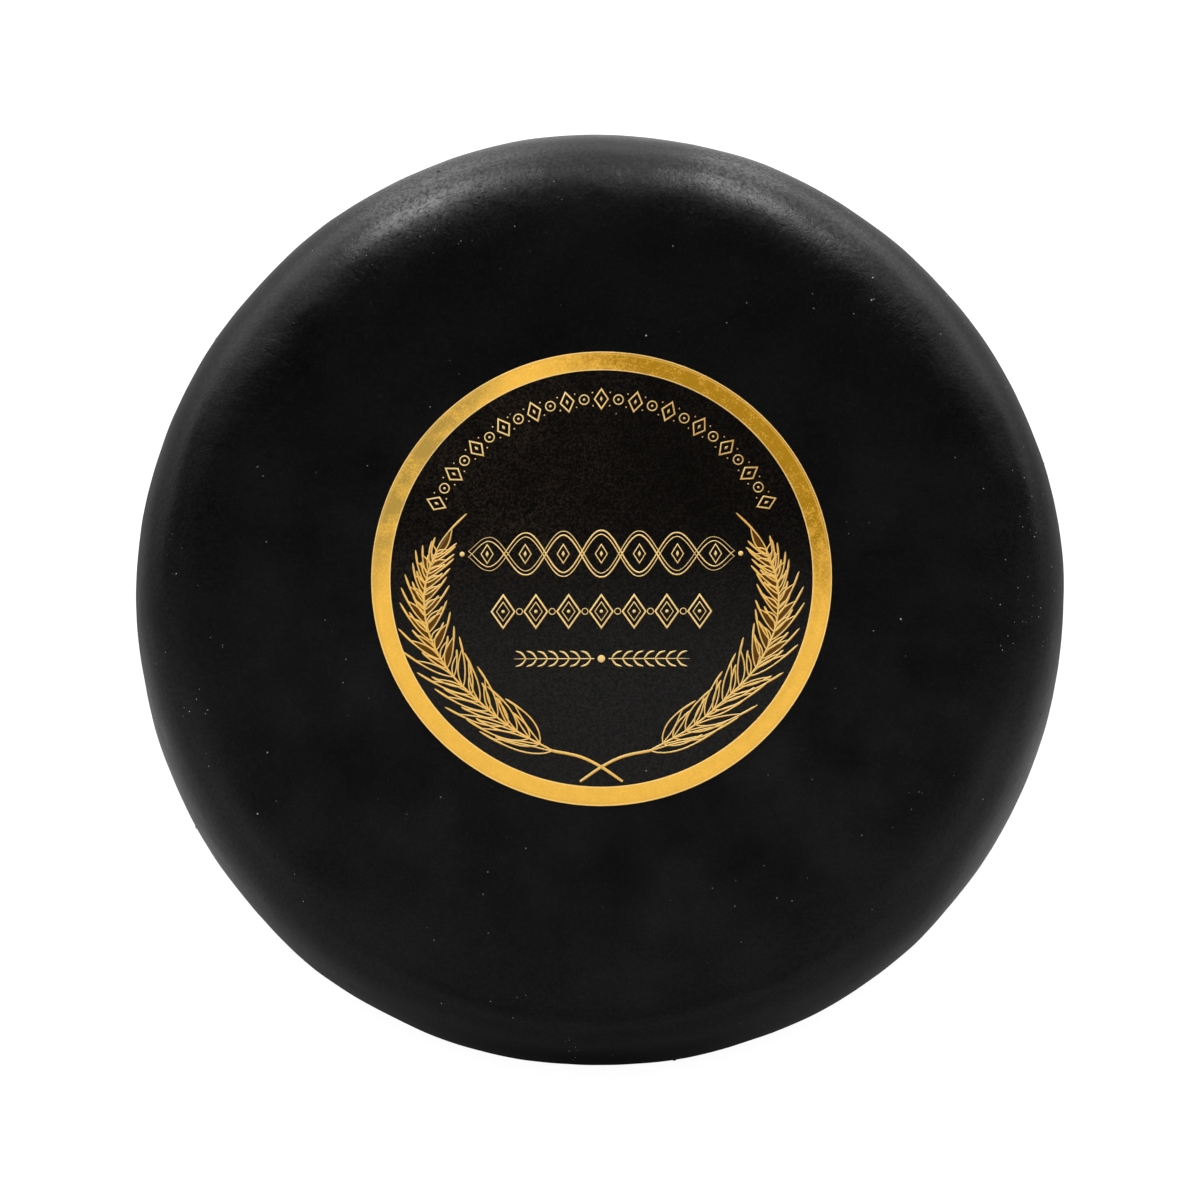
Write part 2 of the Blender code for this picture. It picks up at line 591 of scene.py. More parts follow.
@dataclass(frozen=True)
class PaperLook:
    """The values of the label's black printed paper. The spans run along the label's X or Y."""

    ink: Colour = (0.0011, 0.0010, 0.0009)
    worn: Colour = (0.0185, 0.0128, 0.0084)
    worn_patches: Flat = (14 * MM, 2.2)
    worn_share: Flat = (0.5, 1.3)
    brown_span: Flat = (14 * MM, -12 * MM)
    brown_share: Flat = (0.50, 1.05)
    fleck_power: float = 2.6
    # Painted light: lighter greys that grow along -Y, towards the label's lower side.
    painted_paper_light: tuple[Colour, Colour] = ((0.0056, 0.0053, 0.0051), (0.0168, 0.0161, 0.0154))
    painted_paper_light_span: Flat = (16 * MM, -26 * MM)
    painted_paper_light_share: float = 0.95
    edge: Colour = (0.030, 0.024, 0.018)
    edge_width: float = 0.12 * MM
    dust: Colour = (0.22, 0.21, 0.19)
    dust_specks: tuple[float, float, float] = (3.0 * MM, 0.06, 0.12)
    gloss: Flat = (0.50, 0.64)
    shine: float = 0.05
    fibre_size: float = 0.50 * MM
    fibre_fine: float = 0.5
    fibre_depth: float = 0.012 * MM


class PaperFinish(Finish):
    """Matt black paper with fine fibre grain, a rubbed edge, and painted light that grows towards the
    label's lower side.
    """

    def __init__(self, effects: SharedEffects, look: PaperLook, radius: float) -> None:
        """Builds the material.

        Args:
            effects: The shared node groups.
            look: The paper's values.
            radius: The label's radius, where its cut edge shows.
        """
        super().__init__("black_printed_paper", effects)
        graph = self.graph
        fibre = self.grain(look.fibre_size, look.fibre_fine)
        across = graph.split(self.where)
        brown = graph.remap(across["X"], look.brown_span, look.brown_share)
        patchy = graph.times(brown, graph.remap(self.mottle(*look.worn_patches), to=look.worn_share))
        flecks = graph.math("POWER", fibre["Tone"], look.fleck_power)
        printed = graph.mix(graph.math("MULTIPLY", flecks, patchy, clamp=True), look.ink, look.worn)
        # Painted light that grows towards the label's lower side.
        painted_paper_light_mask = graph.remap(across["Y"], look.painted_paper_light_span, (0.0, look.painted_paper_light_share))
        printed = graph.mix(painted_paper_light_mask, printed, graph.mix(fibre["Tone"], *look.painted_paper_light))
        rubbed = graph.mix(self.ring(radius, look.edge_width), printed, look.edge)
        self.set("Base Color", graph.mix(self.specks(*look.dust_specks), rubbed, look.dust))
        self.set("Roughness", graph.remap(fibre["Tone"], to=look.gloss))
        self.set("Specular IOR Level", look.shine)
        self.bump(graph.times(fibre["Height"], look.fibre_depth))


class FoilTone(Enum):
    """The gold's bright colour, its deeper colour and its metal share, for each kind of print."""

    BORDER = ((0.880, 0.490, 0.072), (0.350, 0.172, 0.002), 0.22)
    PRINT = ((1.000, 0.700, 0.270), (0.620, 0.340, 0.090), 0.42)
    GRAIN = ((0.980, 0.580, 0.135), (0.520, 0.240, 0.035), 0.42)
    SHADE = ((0.090, 0.036, 0.005), (0.060, 0.024, 0.003), 0.05)

    @property
    def bright(self) -> Colour:
        """The colour where the foil catches the light."""
        return self.value[0]

    @property
    def deep(self) -> Colour:
        """The colour where shade is painted on the foil, and where its random tone is deep."""
        return self.value[1]

    @property
    def metallic(self) -> float:
        """How much of a metal's shine it has."""
        return self.value[2]


@dataclass(frozen=True)
class FoilLook:
    """The values of the gold print. Patches have a size and a contrast."""

    gloss: Flat = (0.34, 0.52)
    shine_share: float = 0.7
    crinkle_size: float = 0.5 * MM
    crinkle_fine: float = 0.45
    crinkle_depth: float = 0.010 * MM
    olive: Colour = (0.400, 0.250, 0.045)
    olive_towards: float = math.radians(149)
    olive_span: Flat = (34 * MM, 45 * MM)
    olive_patches: Flat = (4 * MM, 3.0)
    olive_share: Flat = (0.35, 1.05)
    olive_grain: float = 0.45
    # Painted shade towards the label's upper right, broken up by cloudy patches.
    painted_shade_towards: float = math.radians(48)
    painted_shade_span: Flat = (20 * MM, 43 * MM)
    painted_shade_patches: Flat = (2.4 * MM, 3.4)
    painted_shade_shares: Flat = (0.40, 0.60)
    painted_shade_base: float = 0.48
    even_shares: Flat = (0.10, 0.12)
    # Painted highlight and painted shade on the bevels, by which way they face.
    lit: Colour = (1.0, 0.800, 0.360)
    unlit: Colour = (0.460, 0.220, 0.045)
    lit_from: tuple[float, float, float] = (-0.6, 0.8, 0.0)
    bevel_span: Flat = (0.04, 0.34)
    bevel_share: float = 0.9
    # Painted highlight on the border's edges, and painted shade in its groove.
    edge: Colour = (0.960, 0.680, 0.280)
    groove: Colour = (0.700, 0.380, 0.055)
    line_width: float = 0.16 * MM
    line_share: float = 0.75


class FoilFinish(Finish):
    """Satin gold foil, with painted shade that makes it darker and more mottled towards the label's upper
    right, and painted highlight and shade on its edges and bevels.
    """

    def __init__(
        self, effects: SharedEffects, look: FoilLook, tone: FoilTone, radii: Flat | None = None
    ) -> None:
        """Builds the material.

        Args:
            effects: The shared node groups.
            look: The foil's values.
            tone: Its colours and its metal share.
            radii: The inner and outer radius of a border, which get painted highlight lines on their edges.
        """
        super().__init__(f"gold_foil_{tone.name.lower()}", effects)
        graph = self.graph
        self.look = look
        crinkle = self.grain(look.crinkle_size, look.crinkle_fine)
        colour = graph.mix(self.painted_shade_and_tone(crinkle["Tone"]), tone.bright, tone.deep)
        colour = graph.mix(self.olive(crinkle["Tone"]), colour, look.olive)
        self.set("Base Color", self.painted_edge_light(colour, radii) if radii else self.painted_bevel_light(colour))
        self.set("Metallic", tone.metallic)
        self.set("Specular IOR Level", look.shine_share * tone.metallic)
        self.set("Roughness", graph.remap(crinkle["Tone"], to=look.gloss))
        self.bump(graph.times(crinkle["Height"], look.crinkle_depth))

    def olive(self, crinkle: Socket) -> Socket:
        """How olive the foil has aged.

        Args:
            crinkle: The foil's fine tone.

        Returns:
            A mask that grows towards the aged side.
        """
        graph, look = self.graph, self.look
        patches = graph.remap(self.mottle(*look.olive_patches), to=look.olive_share)
        aged = graph.math("MULTIPLY_ADD", crinkle, look.olive_grain, patches)
        return graph.times(self.towards(look.olive_towards, look.olive_span), aged)

    def painted_shade_and_tone(self, crinkle: Socket) -> Socket:
        """How much painted shade and random tone darken the foil.

        Args:
            crinkle: The foil's fine tone.

        Returns:
            A mask of painted shade that grows towards the upper right, broken up by cloudy patches, plus
            the foil's even random tone.
        """
        graph, look = self.graph, self.look
        clouds = self.mottle(*look.painted_shade_patches)
        shade_clouds, even = (
            graph.math("MULTIPLY_ADD", clouds, cloud_share, graph.times(crinkle, crinkle_share))
            for cloud_share, crinkle_share in (look.painted_shade_shares, look.even_shares)
        )
        # Painted shade: the foil darkens towards the label's upper right, broken up by cloudy patches; the
        # even part is the foil's random tone.
        side = self.towards(look.painted_shade_towards, look.painted_shade_span)
        worn = graph.times(side, graph.math("ADD", shade_clouds, look.painted_shade_base))
        return graph.math("ADD", worn, even, clamp=True)

    def towards(self, angle: float, span: Flat) -> Socket:
        """A mask that grows towards one side of the label.

        Args:
            angle: The side's direction.
            span: How far out the mask begins, and how far out it is full.

        Returns:
            The mask, from 0 to 1.
        """
        along = self.graph.vector("DOT_PRODUCT", self.where, (math.cos(angle), math.sin(angle), 0.0))
        return self.graph.remap(along, span)

    def painted_bevel_light(self, colour: Socket) -> Socket:
        """Paints highlight on the bevels of a raised line that face the light, and shade on those that face
        away.

        Args:
            colour: The foil's own colour.

        Returns:
            The colour with painted highlight and painted shade on its bevels.
        """
        graph, look = self.graph, self.look
        facing = graph.vector("DOT_PRODUCT", graph.node("TexCoord").outputs["Normal"], look.lit_from)
        # Painted highlight on bevels that face lit_from, and painted shade on those that face away.
        for sign, tint in ((1, look.lit), (-1, look.unlit)):
            span = (sign * look.bevel_span[0], sign * look.bevel_span[1])
            colour = graph.mix(graph.remap(facing, span, (0.0, look.bevel_share)), colour, tint)
        return colour

    def painted_edge_light(self, colour: Socket, radii: Flat) -> Socket:
        """Paints a highlight line on each edge of a border, and a shade line in the groove inside the outer
        one.

        Args:
            colour: The border's own colour.
            radii: Its inner and outer radius.

        Returns:
            The colour with the painted highlight and shade lines.
        """
        graph, look = self.graph, self.look
        inner, outer = radii
        # Painted shade in the groove, then painted highlight on the outer and the inner edge.
        for radius, line in (
            (outer - 3.2 * look.line_width, look.groove),
            (outer - 0.5 * look.line_width, look.edge),
            (inner + 0.5 * look.line_width, look.edge),
        ):
            mask = self.ring(radius, 1.4 * look.line_width)
            colour = graph.mix(graph.times(mask, look.line_share), colour, line)
        return colour


@dataclass
class MeshDraft:
    """Collects points and faces, and turns them into one smooth-shaded object."""

    points: list[Sequence[float]] = field(default_factory=list)
    faces: list[Face] = field(default_factory=list)

    def add(self, points: Iterable[Sequence[float]], faces: Iterable[Sequence[int]]) -> None:
        """Adds to the mesh.

        Args:
            points: The points to add.
            faces: The faces to add, which count from the first of these points.
        """
        first = len(self.points)
        self.points.extend(points)
        self.faces.extend(tuple(first + index for index in face) for face in faces)

    def build(self, name: str, finish: Finish, sharp: float = 180.0) -> Piece:
        """Makes the object.

        Args:
            name: Its name.
            finish: Its finish.
            sharp: The angle in degrees past which an edge stays sharp.

        Returns:
            The object, linked to the scene.
        """
        data = bpy.data.meshes.new(name)
        data.from_pydata([tuple(point) for point in self.points], [], self.faces)
        data.validate()
        data.shade_smooth()
        if sharp < 180.0:
            data.set_sharp_from_angle(angle=math.radians(sharp))
        data.materials.append(finish.material)
        made = bpy.data.objects.new(name, data)
        bpy.context.scene.collection.objects.link(made)
        return made


def adopt(piece: Piece, slot: Slot, *nodes: str) -> Piece:
    """Puts a piece on the part's body.

    Args:
        piece: The piece.
        slot: The slot that its finish belongs to; not used.
        nodes: The solids that it stands for.

    Returns:
        The piece.
    """
    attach(piece, BODY)
    if nodes:
        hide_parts(*nodes)
    LOG.info("%s: %d faces", piece.name, len(piece.data.polygons))
    return piece


@dataclass(frozen=True)
class WheelForm:
    """The wheel's form: the even section and its hand-made unevenness, as in the solid."""

    radius: float = 0.095
    height: float = 0.070
    face_squareness: float = 14.0
    side_squareness: float = 2.4
    foot_settling: float = 0.0006
    rim_waves: tuple[Wave, ...] = (
        (2, 0.0034, 3.29),
        (3, 0.0004, -0.50),
        (4, 0.0007, 0.30),
        (5, 0.0024, 2.13),
        (6, 0.0010, 0.05),
    )
    slope: float = math.radians(1.1)
    slope_towards: float = math.radians(-15)
    swell_height: float = 0.0007
    swell_width: float = 0.034
    swell_flat_radius: float = 0.049
    swell_full_radius: float = 0.080
    foot_blend_height: float = 0.014

    @property
    def half_section(self) -> float:
        """Half the height of the section before its foot settled."""
        return (self.height + self.foot_settling) / 2

    def foot_turn(self) -> float:
        """The turn at which the section meets the plane of the foot."""
        share = (self.half_section - self.foot_settling) / self.half_section
        return math.pi - math.acos(share ** (self.side_squareness / 2))

    def section(self, turns: np.ndarray) -> tuple[np.ndarray, np.ndarray]:
        """Points on the section.

        Args:
            turns: Angles down from the middle of the face.

        Returns:
            Their radii and their heights.
        """
        lift = np.cos(turns)
        radii = self.radius * np.sin(turns) ** (2 / self.face_squareness)
        rise = self.half_section * np.abs(lift) ** (2 / self.side_squareness)
        return radii, self.height - self.half_section + np.sign(lift) * rise

    def uneven(self, point: Vector) -> Vector:
        """Where a point of the even wheel lies on the hand-made one.

        Args:
            point: A point of the even wheel.

        Returns:
            The moved point.
        """
        share = 1 + waves(math.atan2(point.y, point.x), self.rim_waves)
        beyond = smooth_step(self.swell_flat_radius, self.swell_full_radius, off_axis(point))
        above = smooth_step(0.0, self.foot_blend_height, point.z)
        swell = self.swell_height * noise.noise(point / self.swell_width) * beyond * above
        moved = Vector((point.x * share, point.y * share, point.z)) + self.outwards(point) * swell
        uphill = moved.x * math.cos(self.slope_towards) + moved.y * math.sin(self.slope_towards)
        moved.z += math.tan(self.slope) * uphill * smooth_step(0.0, self.height, point.z)
        return moved

    def outwards(self, point: Vector) -> Vector:
        """The direction from the wheel's middle to a point."""
        return (point - Vector((0.0, 0.0, self.height / 2))).normalized()

    def is_upper(self, point: Vector) -> bool:
        """Whether a point lies above the wheel's half height."""
        return point.z > 0.5 * self.height


@dataclass(frozen=True)
class LabelPlace:
    """Where the label's solid lies: its middle, its slope and its sizes, read from the frame."""

    matrix: Matrix
    radius: float
    border_width: float = 3.85 * MM
    thickness: float = 0.35 * MM
    border_relief: float = 0.12 * MM
    gap: float = 0.30 * MM

    @classmethod
    def from_frame(cls, form: WheelForm) -> "LabelPlace":
        """Reads the label's box.

        Args:
            form: The wheel's form, which gives the slope.

        Returns:
            The label's place.
        """
        low, high = (Vector(corner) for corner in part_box(LABEL_NODE))
        middle = (low + high) / 2
        axis = Vector((-math.sin(form.slope_towards), math.cos(form.slope_towards), 0.0))
        turn = Matrix.Rotation(-form.slope, 4, axis)
        under = middle - turn.to_3x3() @ Vector((0.0, 0.0, (cls.thickness + cls.border_relief) / 2))
        return cls(Matrix.Translation(under) @ turn, (high.y - low.y) / 2)

    def distance(self, point: Vector) -> float:
        """How far a point lies from the label's middle, along the face."""
        return math.hypot(point.x - self.matrix.translation.x, point.y - self.matrix.translation.y)


@dataclass
class WaxedWheel:
    """The cheese in its wax coat, with the fine unevenness of a hand-dipped skin.

    Each patch is its middle, its width and what it adds. Patches, clusters, dents and nibs are in
    millimetres. The ring spacings are for the label, the face, the shoulder, the side and the foot.
    """

    form: WheelForm
    label: LabelPlace
    segments: int = 660
    ring_spacings: tuple[float, ...] = (4.0 * MM, 1.1 * MM, 0.70 * MM, 1.25 * MM, 1.8 * MM)
    label_reach: float = 0.042
    face_reach: float = 0.076
    foot_reach: float = 0.012
    shoulder_share: float = 0.55
    face_share: float = 0.8
    face_samples: int = 400
    side_samples: int = 1500
    rim_trim: tuple[Wave, ...] = (
        (0, 0.0015, 0.0),
        (3, 0.0006, -1.29),
        (7, 0.0013, 0.06),
        (8, 0.0009, 0.66),
        (9, 0.0006, -1.72),
        (10, 0.0008, 0.42),
    )
    trim_span: Flat = (0.078, 0.093)
    relief_span: Flat = (0.050, 0.074)
    lump_width: float = 13 * MM
    lump_height: float = 0.16 * MM
    lump_shift: tuple[float, float, float] = (3.1, 7.7, 1.9)
    ripple_width: float = 5 * MM
    ripple_height: float = 0.055 * MM
    ripple_shift: tuple[float, float, float] = (9.3, 2.4, 5.6)
    ripple_least: float = 0.3
    seat_margin: float = 0.8 * MM
    seat_fade: float = 8 * MM
    seat_clearance: float = 0.02 * MM
    dent_seed: int = 41
    dent_count: int = 26
    dent_turns: Flat = (math.radians(24), math.radians(120))
    dent_radii: Flat = (2.2, 5.0)
    dent_depth: float = 0.12 * MM
    nib_seed: int = 7
    nib_count: int = 46
    nib_from: float = 0.052
    nib_cluster: tuple[Flat, float, int] = ((-23.0, 76.5), 1.8, 5)
    nib_widths: Flat = (0.18, 0.42)
    nib_height_share: float = 0.45
    nib_sides: int = 10
    marks: str = "pull_marks"
    face_marks: float = 0.10
    side_marks: float = 0.12
    mark_patches: tuple[Patch, ...] = (
        (-25.5, 68.5, 5.5, 1.0),
        (-47.0, 57.0, 7.5, 0.9),
        (-66.0, 42.5, 6.0, 0.8),
        (16.5, 76.0, 6.5, 0.9),
        (41.5, 67.0, 7.0, 0.8),
        (61.5, 51.0, 6.0, 0.6),
        (2.0, 82.0, 8.0, 0.5),
    )
    pebbles: str = "pebble_strength"
    pebble_span: Flat = (0.066, 0.084)
    shoulder_pebbles: float = 0.17
    side_pebbles: float = 0.25
    pebble_patches: tuple[Patch, ...] = (
        (-38.0, 79.0, 11.0, 1.0),
        (-20.0, 86.0, 10.0, 0.3),
        (28.0, 83.0, 9.0, 1.0),
        (50.0, 72.0, 12.0, 0.25),
        (-84.0, 12.0, 12.0, 0.15),
        (84.0, 8.0, 12.0, 0.15),
    )

    def stations(self) -> list[Flat]:
        """Places the rings: close together on the face and the shoulder, and wider elsewhere.

        Returns:
            The (radius, height) of each ring, from the middle of the face to the foot.
        """
        form = self.form
        face = np.arcsin(np.linspace(0.0, self.face_share, self.face_samples) ** (form.face_squareness / 2))
        turns = np.concatenate([face, np.linspace(face[-1], form.foot_turn(), self.side_samples)[1:]])
        radii, heights = form.section(turns)
        top = heights > self.shoulder_share * form.height
        zones = [top & (radii < self.label_reach), top & (radii < self.face_reach), top]
        zones.append(heights > self.foot_reach)
        spacing = np.select(zones, self.ring_spacings[:-1], self.ring_spacings[-1])
        length = np.concatenate([[0.0], np.cumsum(np.hypot(np.diff(radii), np.diff(heights)))])
        count = np.concatenate([[0.0], np.cumsum(np.diff(length) / spacing[1:])])
        wanted = np.linspace(0.0, count[-1], round(count[-1]) + 1)
        return list(zip(np.interp(wanted, count, radii), np.interp(wanted, count, heights)))

    def dents(self) -> list[tuple[Vector, float]]:
        """Draws shallow knocks in the shoulder and the side.

        Returns:
            Each dent's middle and its radius.
        """
        draw = random.Random(self.dent_seed)
        found = []
        for _ in range(self.dent_count):
            angle = draw.uniform(0.0, FULL_TURN)
            radii, heights = self.form.section(np.array([draw.uniform(*self.dent_turns)]))
            middle = Vector((radii[0] * math.cos(angle), radii[0] * math.sin(angle), heights[0]))
            found.append((middle, draw.uniform(*self.dent_radii) * MM))
        return found

    def relief(self, point: Vector, dents: Sequence[tuple[Vector, float]]) -> float:
        """How far the fine unevenness moves a point outwards.

        Args:
            point: A point of the even wheel.
            dents: The shallow knocks.

        Returns:
            The distance in metres.
        """
        reach = off_axis(point)
        beyond = smooth_step(*self.relief_span, reach)
        above = smooth_step(0.0, self.form.foot_blend_height, point.z)
        lump = self.lump_height * noise.noise(point / self.lump_width + Vector(self.lump_shift))
        ripple = self.ripple_height * noise.noise(point / self.ripple_width + Vector(self.ripple_shift))
        ripple *= self.ripple_least + (1 - self.ripple_least) * beyond
        knock = sum(
            self.dent_depth * (1 - smooth_step(0.0, radius, (point - middle).length))
            for middle, radius in dents
        )
        trim = self.form.radius * waves(math.atan2(point.y, point.x), self.rim_trim)
        trim *= smooth_step(*self.trim_span, reach)
        return (lump * beyond + ripple + trim - knock) * above

    def seat(self, point: Vector) -> float:
        """How far the wax stands up under and just round the label.

        Args:
            point: A point of the face.

        Returns:
            The distance in metres.
        """
        edge = self.label.radius + self.seat_margin
        beyond = smooth_step(edge, edge + self.seat_fade, self.label.distance(point))
        return (self.label.gap - self.seat_clearance) * (1 - beyond)

    @staticmethod
    def patched(point: Vector, base: float, patches: Iterable[Patch]) -> float:
        """Adds up soft round patches over a point of the upper skin.

        Args:
            point: The point.
            base: The value away from the patches.
            patches: The patches.

        Returns:
            The value at the point.
        """
        total = base
        for x, y, width, strength in patches:
            away = math.hypot(point.x - x * MM, point.y - y * MM) / (width * MM)
            total += strength * math.exp(-away * away)
        return total

    def mark_strength(self, point: Vector) -> float:
        """How strongly the wax is streaked.

        Args:
            point: A point of the skin.

        Returns:
            The strength, from 0 to 1.
        """
        if self.form.is_upper(point):
            return min(1.0, self.patched(point, self.face_marks, self.mark_patches))
        return self.side_marks

    def pebble_strength(self, point: Vector) -> float:
        """How strong the coarse pebbles are: none on the face, and more on the shoulder.

        Args:
            point: A point of the skin.

        Returns:
            The strength, which is 0 where there are none.
        """
        if self.form.is_upper(point):
            beyond = smooth_step(*self.pebble_span, off_axis(point))
            return beyond * self.patched(point, self.shoulder_pebbles, self.pebble_patches)
        return self.side_pebbles

    def moved(self, point: Vector, dents: Sequence[tuple[Vector, float]]) -> Vector:
        """Where a point of the even wheel lies on the waxed one.

        Args:
            point: A point of the even wheel.
            dents: The shallow knocks.

        Returns:
            The moved point.
        """
        moved = self.form.uneven(point) + self.form.outwards(point) * self.relief(point, dents)
        if self.form.is_upper(point):
            moved.z += self.seat(moved)
        return moved

    def make_skin(self, finish: WaxFinish) -> Piece:
        """Builds the wheel's closed skin.

        Args:
            finish: The wax.

        Returns:
            The wheel.
        """
        dents = self.dents()
        rings = self.stations()[1:]
        turns = even_turns(self.segments)
        even = [Vector((0.0, 0.0, self.form.height))]
        even += [Vector((r * math.cos(a), r * math.sin(a), z)) for r, z in rings for a in turns]
        even.append(Vector((0.0, 0.0, 0.0)))
        points = [self.moved(point, dents) for point in even]
        draft = MeshDraft()
        draft.add(points, self.skin_faces(len(rings)))
        wheel = draft.build("wax_wheel", finish)
        for attribute, strength in ((self.marks, self.mark_strength), (self.pebbles, self.pebble_strength)):
            values = wheel.data.attributes.new(attribute, "FLOAT", "POINT").data
            values.foreach_set("value", [strength(point) for point in points])
        return adopt(wheel, Slot.WAX, WHEEL_NODE)

    def skin_faces(self, ring_count: int) -> list[Face]:
        """Joins the rings.

        Args:
            ring_count: How many rings lie between the two middle points.

        Returns:
            The faces, facing out.
        """
        size = self.segments
        after = [(index + 1) % size for index in range(size)]
        faces = [(0, 1 + index, 1 + after[index]) for index in range(size)]
        for ring in range(ring_count - 1):
            faces += band(1 + ring * size, 1 + (ring + 1) * size, size)
        last = 1 + (ring_count - 1) * size
        faces += [(last + index, last + size, last + after[index]) for index in range(size)]
        return faces

    def make_nibs(self, wheel: Piece, finish: WaxFinish) -> Piece:
        """Builds the small beads of wax that stand on the skin.

        Args:
            wheel: The wheel's skin, which carries them.
            finish: The wax.

        Returns:
            The beads, joined into one piece.
        """
        draw = random.Random(self.nib_seed)
        skin = SkinSpots(wheel, draw)
        spots = skin.scatter(self.nib_count, self.nib_from) + skin.cluster(*self.nib_cluster)
        draft = MeshDraft()
        for spot in spots:
            width = draw.uniform(*self.nib_widths) * MM
            add_bead(draft, spot, width, self.nib_height_share * width, self.nib_sides)
        return adopt(draft.build("wax_nibs", finish), Slot.WAX)


@dataclass
class SkinSpots:
    """Finds places on a piece's upward skin where small things can sit."""

    piece: Piece
    draw: random.Random
    least_height: float = 0.004
    ray_height: float = 0.2

    def scatter(self, count: int, least_radius: float) -> list[Spot]:
        """Draws spots over the face, the shoulder and the side.

        Args:
            count: How many.
            least_radius: How far from the middle they begin.

        Returns:
            Each spot and the skin's direction there.
        """
        vertices = self.piece.data.vertices
        found = []
        while len(found) < count:
            vertex = vertices[self.draw.randrange(len(vertices))]
            if off_axis(vertex.co) > least_radius and vertex.co.z > self.least_height:
                found.append((vertex.co.copy(), vertex.normal.copy()))
        return found

    def cluster(self, middle: Flat, spread: float, count: int) -> list[Spot]:
        """Draws spots of the upper skin near one place.

        Args:
            middle: The place, in millimetres from the wheel's middle.
            spread: How widely they lie round it, in millimetres.
            count: How many.

        Returns:
            Each spot and the skin's direction there.
        """
        found = []
        for _ in range(count):
            x = self.draw.gauss(middle[0], spread) * MM
            y = self.draw.gauss(middle[1], spread) * MM
            hit, point, normal, _ = self.piece.ray_cast((x, y, self.ray_height), (0.0, 0.0, -1.0))
            if hit:
                found.append((point.copy(), normal.copy()))
        return found


def add_bead(draft: MeshDraft, spot: Spot, width: float, height: float, sides: int) -> None:
    """Adds a small closed dome.

    Args:
        draft: The mesh that it joins.
        spot: The place on the skin, and the skin's direction there.
        width: The dome's radius.
        height: How far it stands up.
        sides: How many sides it has.
    """
    point, normal = spot
    turn = normal.to_track_quat("Z", "Y").to_matrix()
    rows = ((0.72, 0.70), (1.0, 0.05), (1.0, -0.6))
    points = [point + turn @ Vector((0.0, 0.0, height))]
    for share, lift in rows:
        for angle in even_turns(sides):
            side = Vector((share * width * math.cos(angle), share * width * math.sin(angle), lift * height))
            points.append(point + turn @ side)
    faces = [(0, 1 + index, 1 + (index + 1) % sides) for index in range(sides)]
    for row in range(len(rows) - 1):
        faces += band(1 + row * sides, 1 + (row + 1) * sides, sides)
    last = 1 + (len(rows) - 1) * sides
    faces.append(tuple(last + index for index in reversed(range(sides))))
    draft.add(points, faces)


def add_turned(draft: MeshDraft, section: Sequence[Flat], segments: int, closed: bool) -> None:
    """Adds a turned shape about Z.

    Args:
        draft: The mesh that it joins.
        section: (radius, height) points, from the top middle outwards and down.
        segments: How many segments it has.
        closed: True for a ring's closed section, False for one that runs from the axis to the axis.
    """
    rings = section if closed else section[1:-1]
    points = [(r * math.cos(a), r * math.sin(a), z) for r, z in rings for a in even_turns(segments)]
    after = [(index + 1) % segments for index in range(segments)]
    faces = []
    for ring in range(len(rings) if closed else len(rings) - 1):
        faces += band(ring * segments, ((ring + 1) % len(rings)) * segments, segments)
    if not closed:
        top, last, bottom = len(points), (len(rings) - 1) * segments, len(points) + 1
        points += [(0.0, 0.0, section[0][1]), (0.0, 0.0, section[-1][1])]
        faces += [(top, i, after[i]) for i in range(segments)]
        faces += [(last + i, bottom, last + after[i]) for i in range(segments)]
    draft.add(points, faces)


def smooth_curve(knots: Sequence[Flat], steps: int) -> list[Vector]:
    """Draws an even curve through some knots.

    Args:
        knots: The knots.
        steps: How many points each span gets.

    Returns:
        The curve's points.
    """
    ends = [Vector(knot) for knot in knots]
    line = [2 * ends[0] - ends[1], *ends, 2 * ends[-1] - ends[-2]]
    curve = []
    for before, start, end, after in zip(line, line[1:], line[2:], line[3:]):
        for step in range(steps):
            t = step / steps
            bend = (2 * before - 5 * start + 4 * end - after) * t * t
            sweep = (3 * start - before - 3 * end + after) * t * t * t
            curve.append((2 * start + (end - before) * t + bend + sweep) / 2)
    return [*curve, ends[-1]]


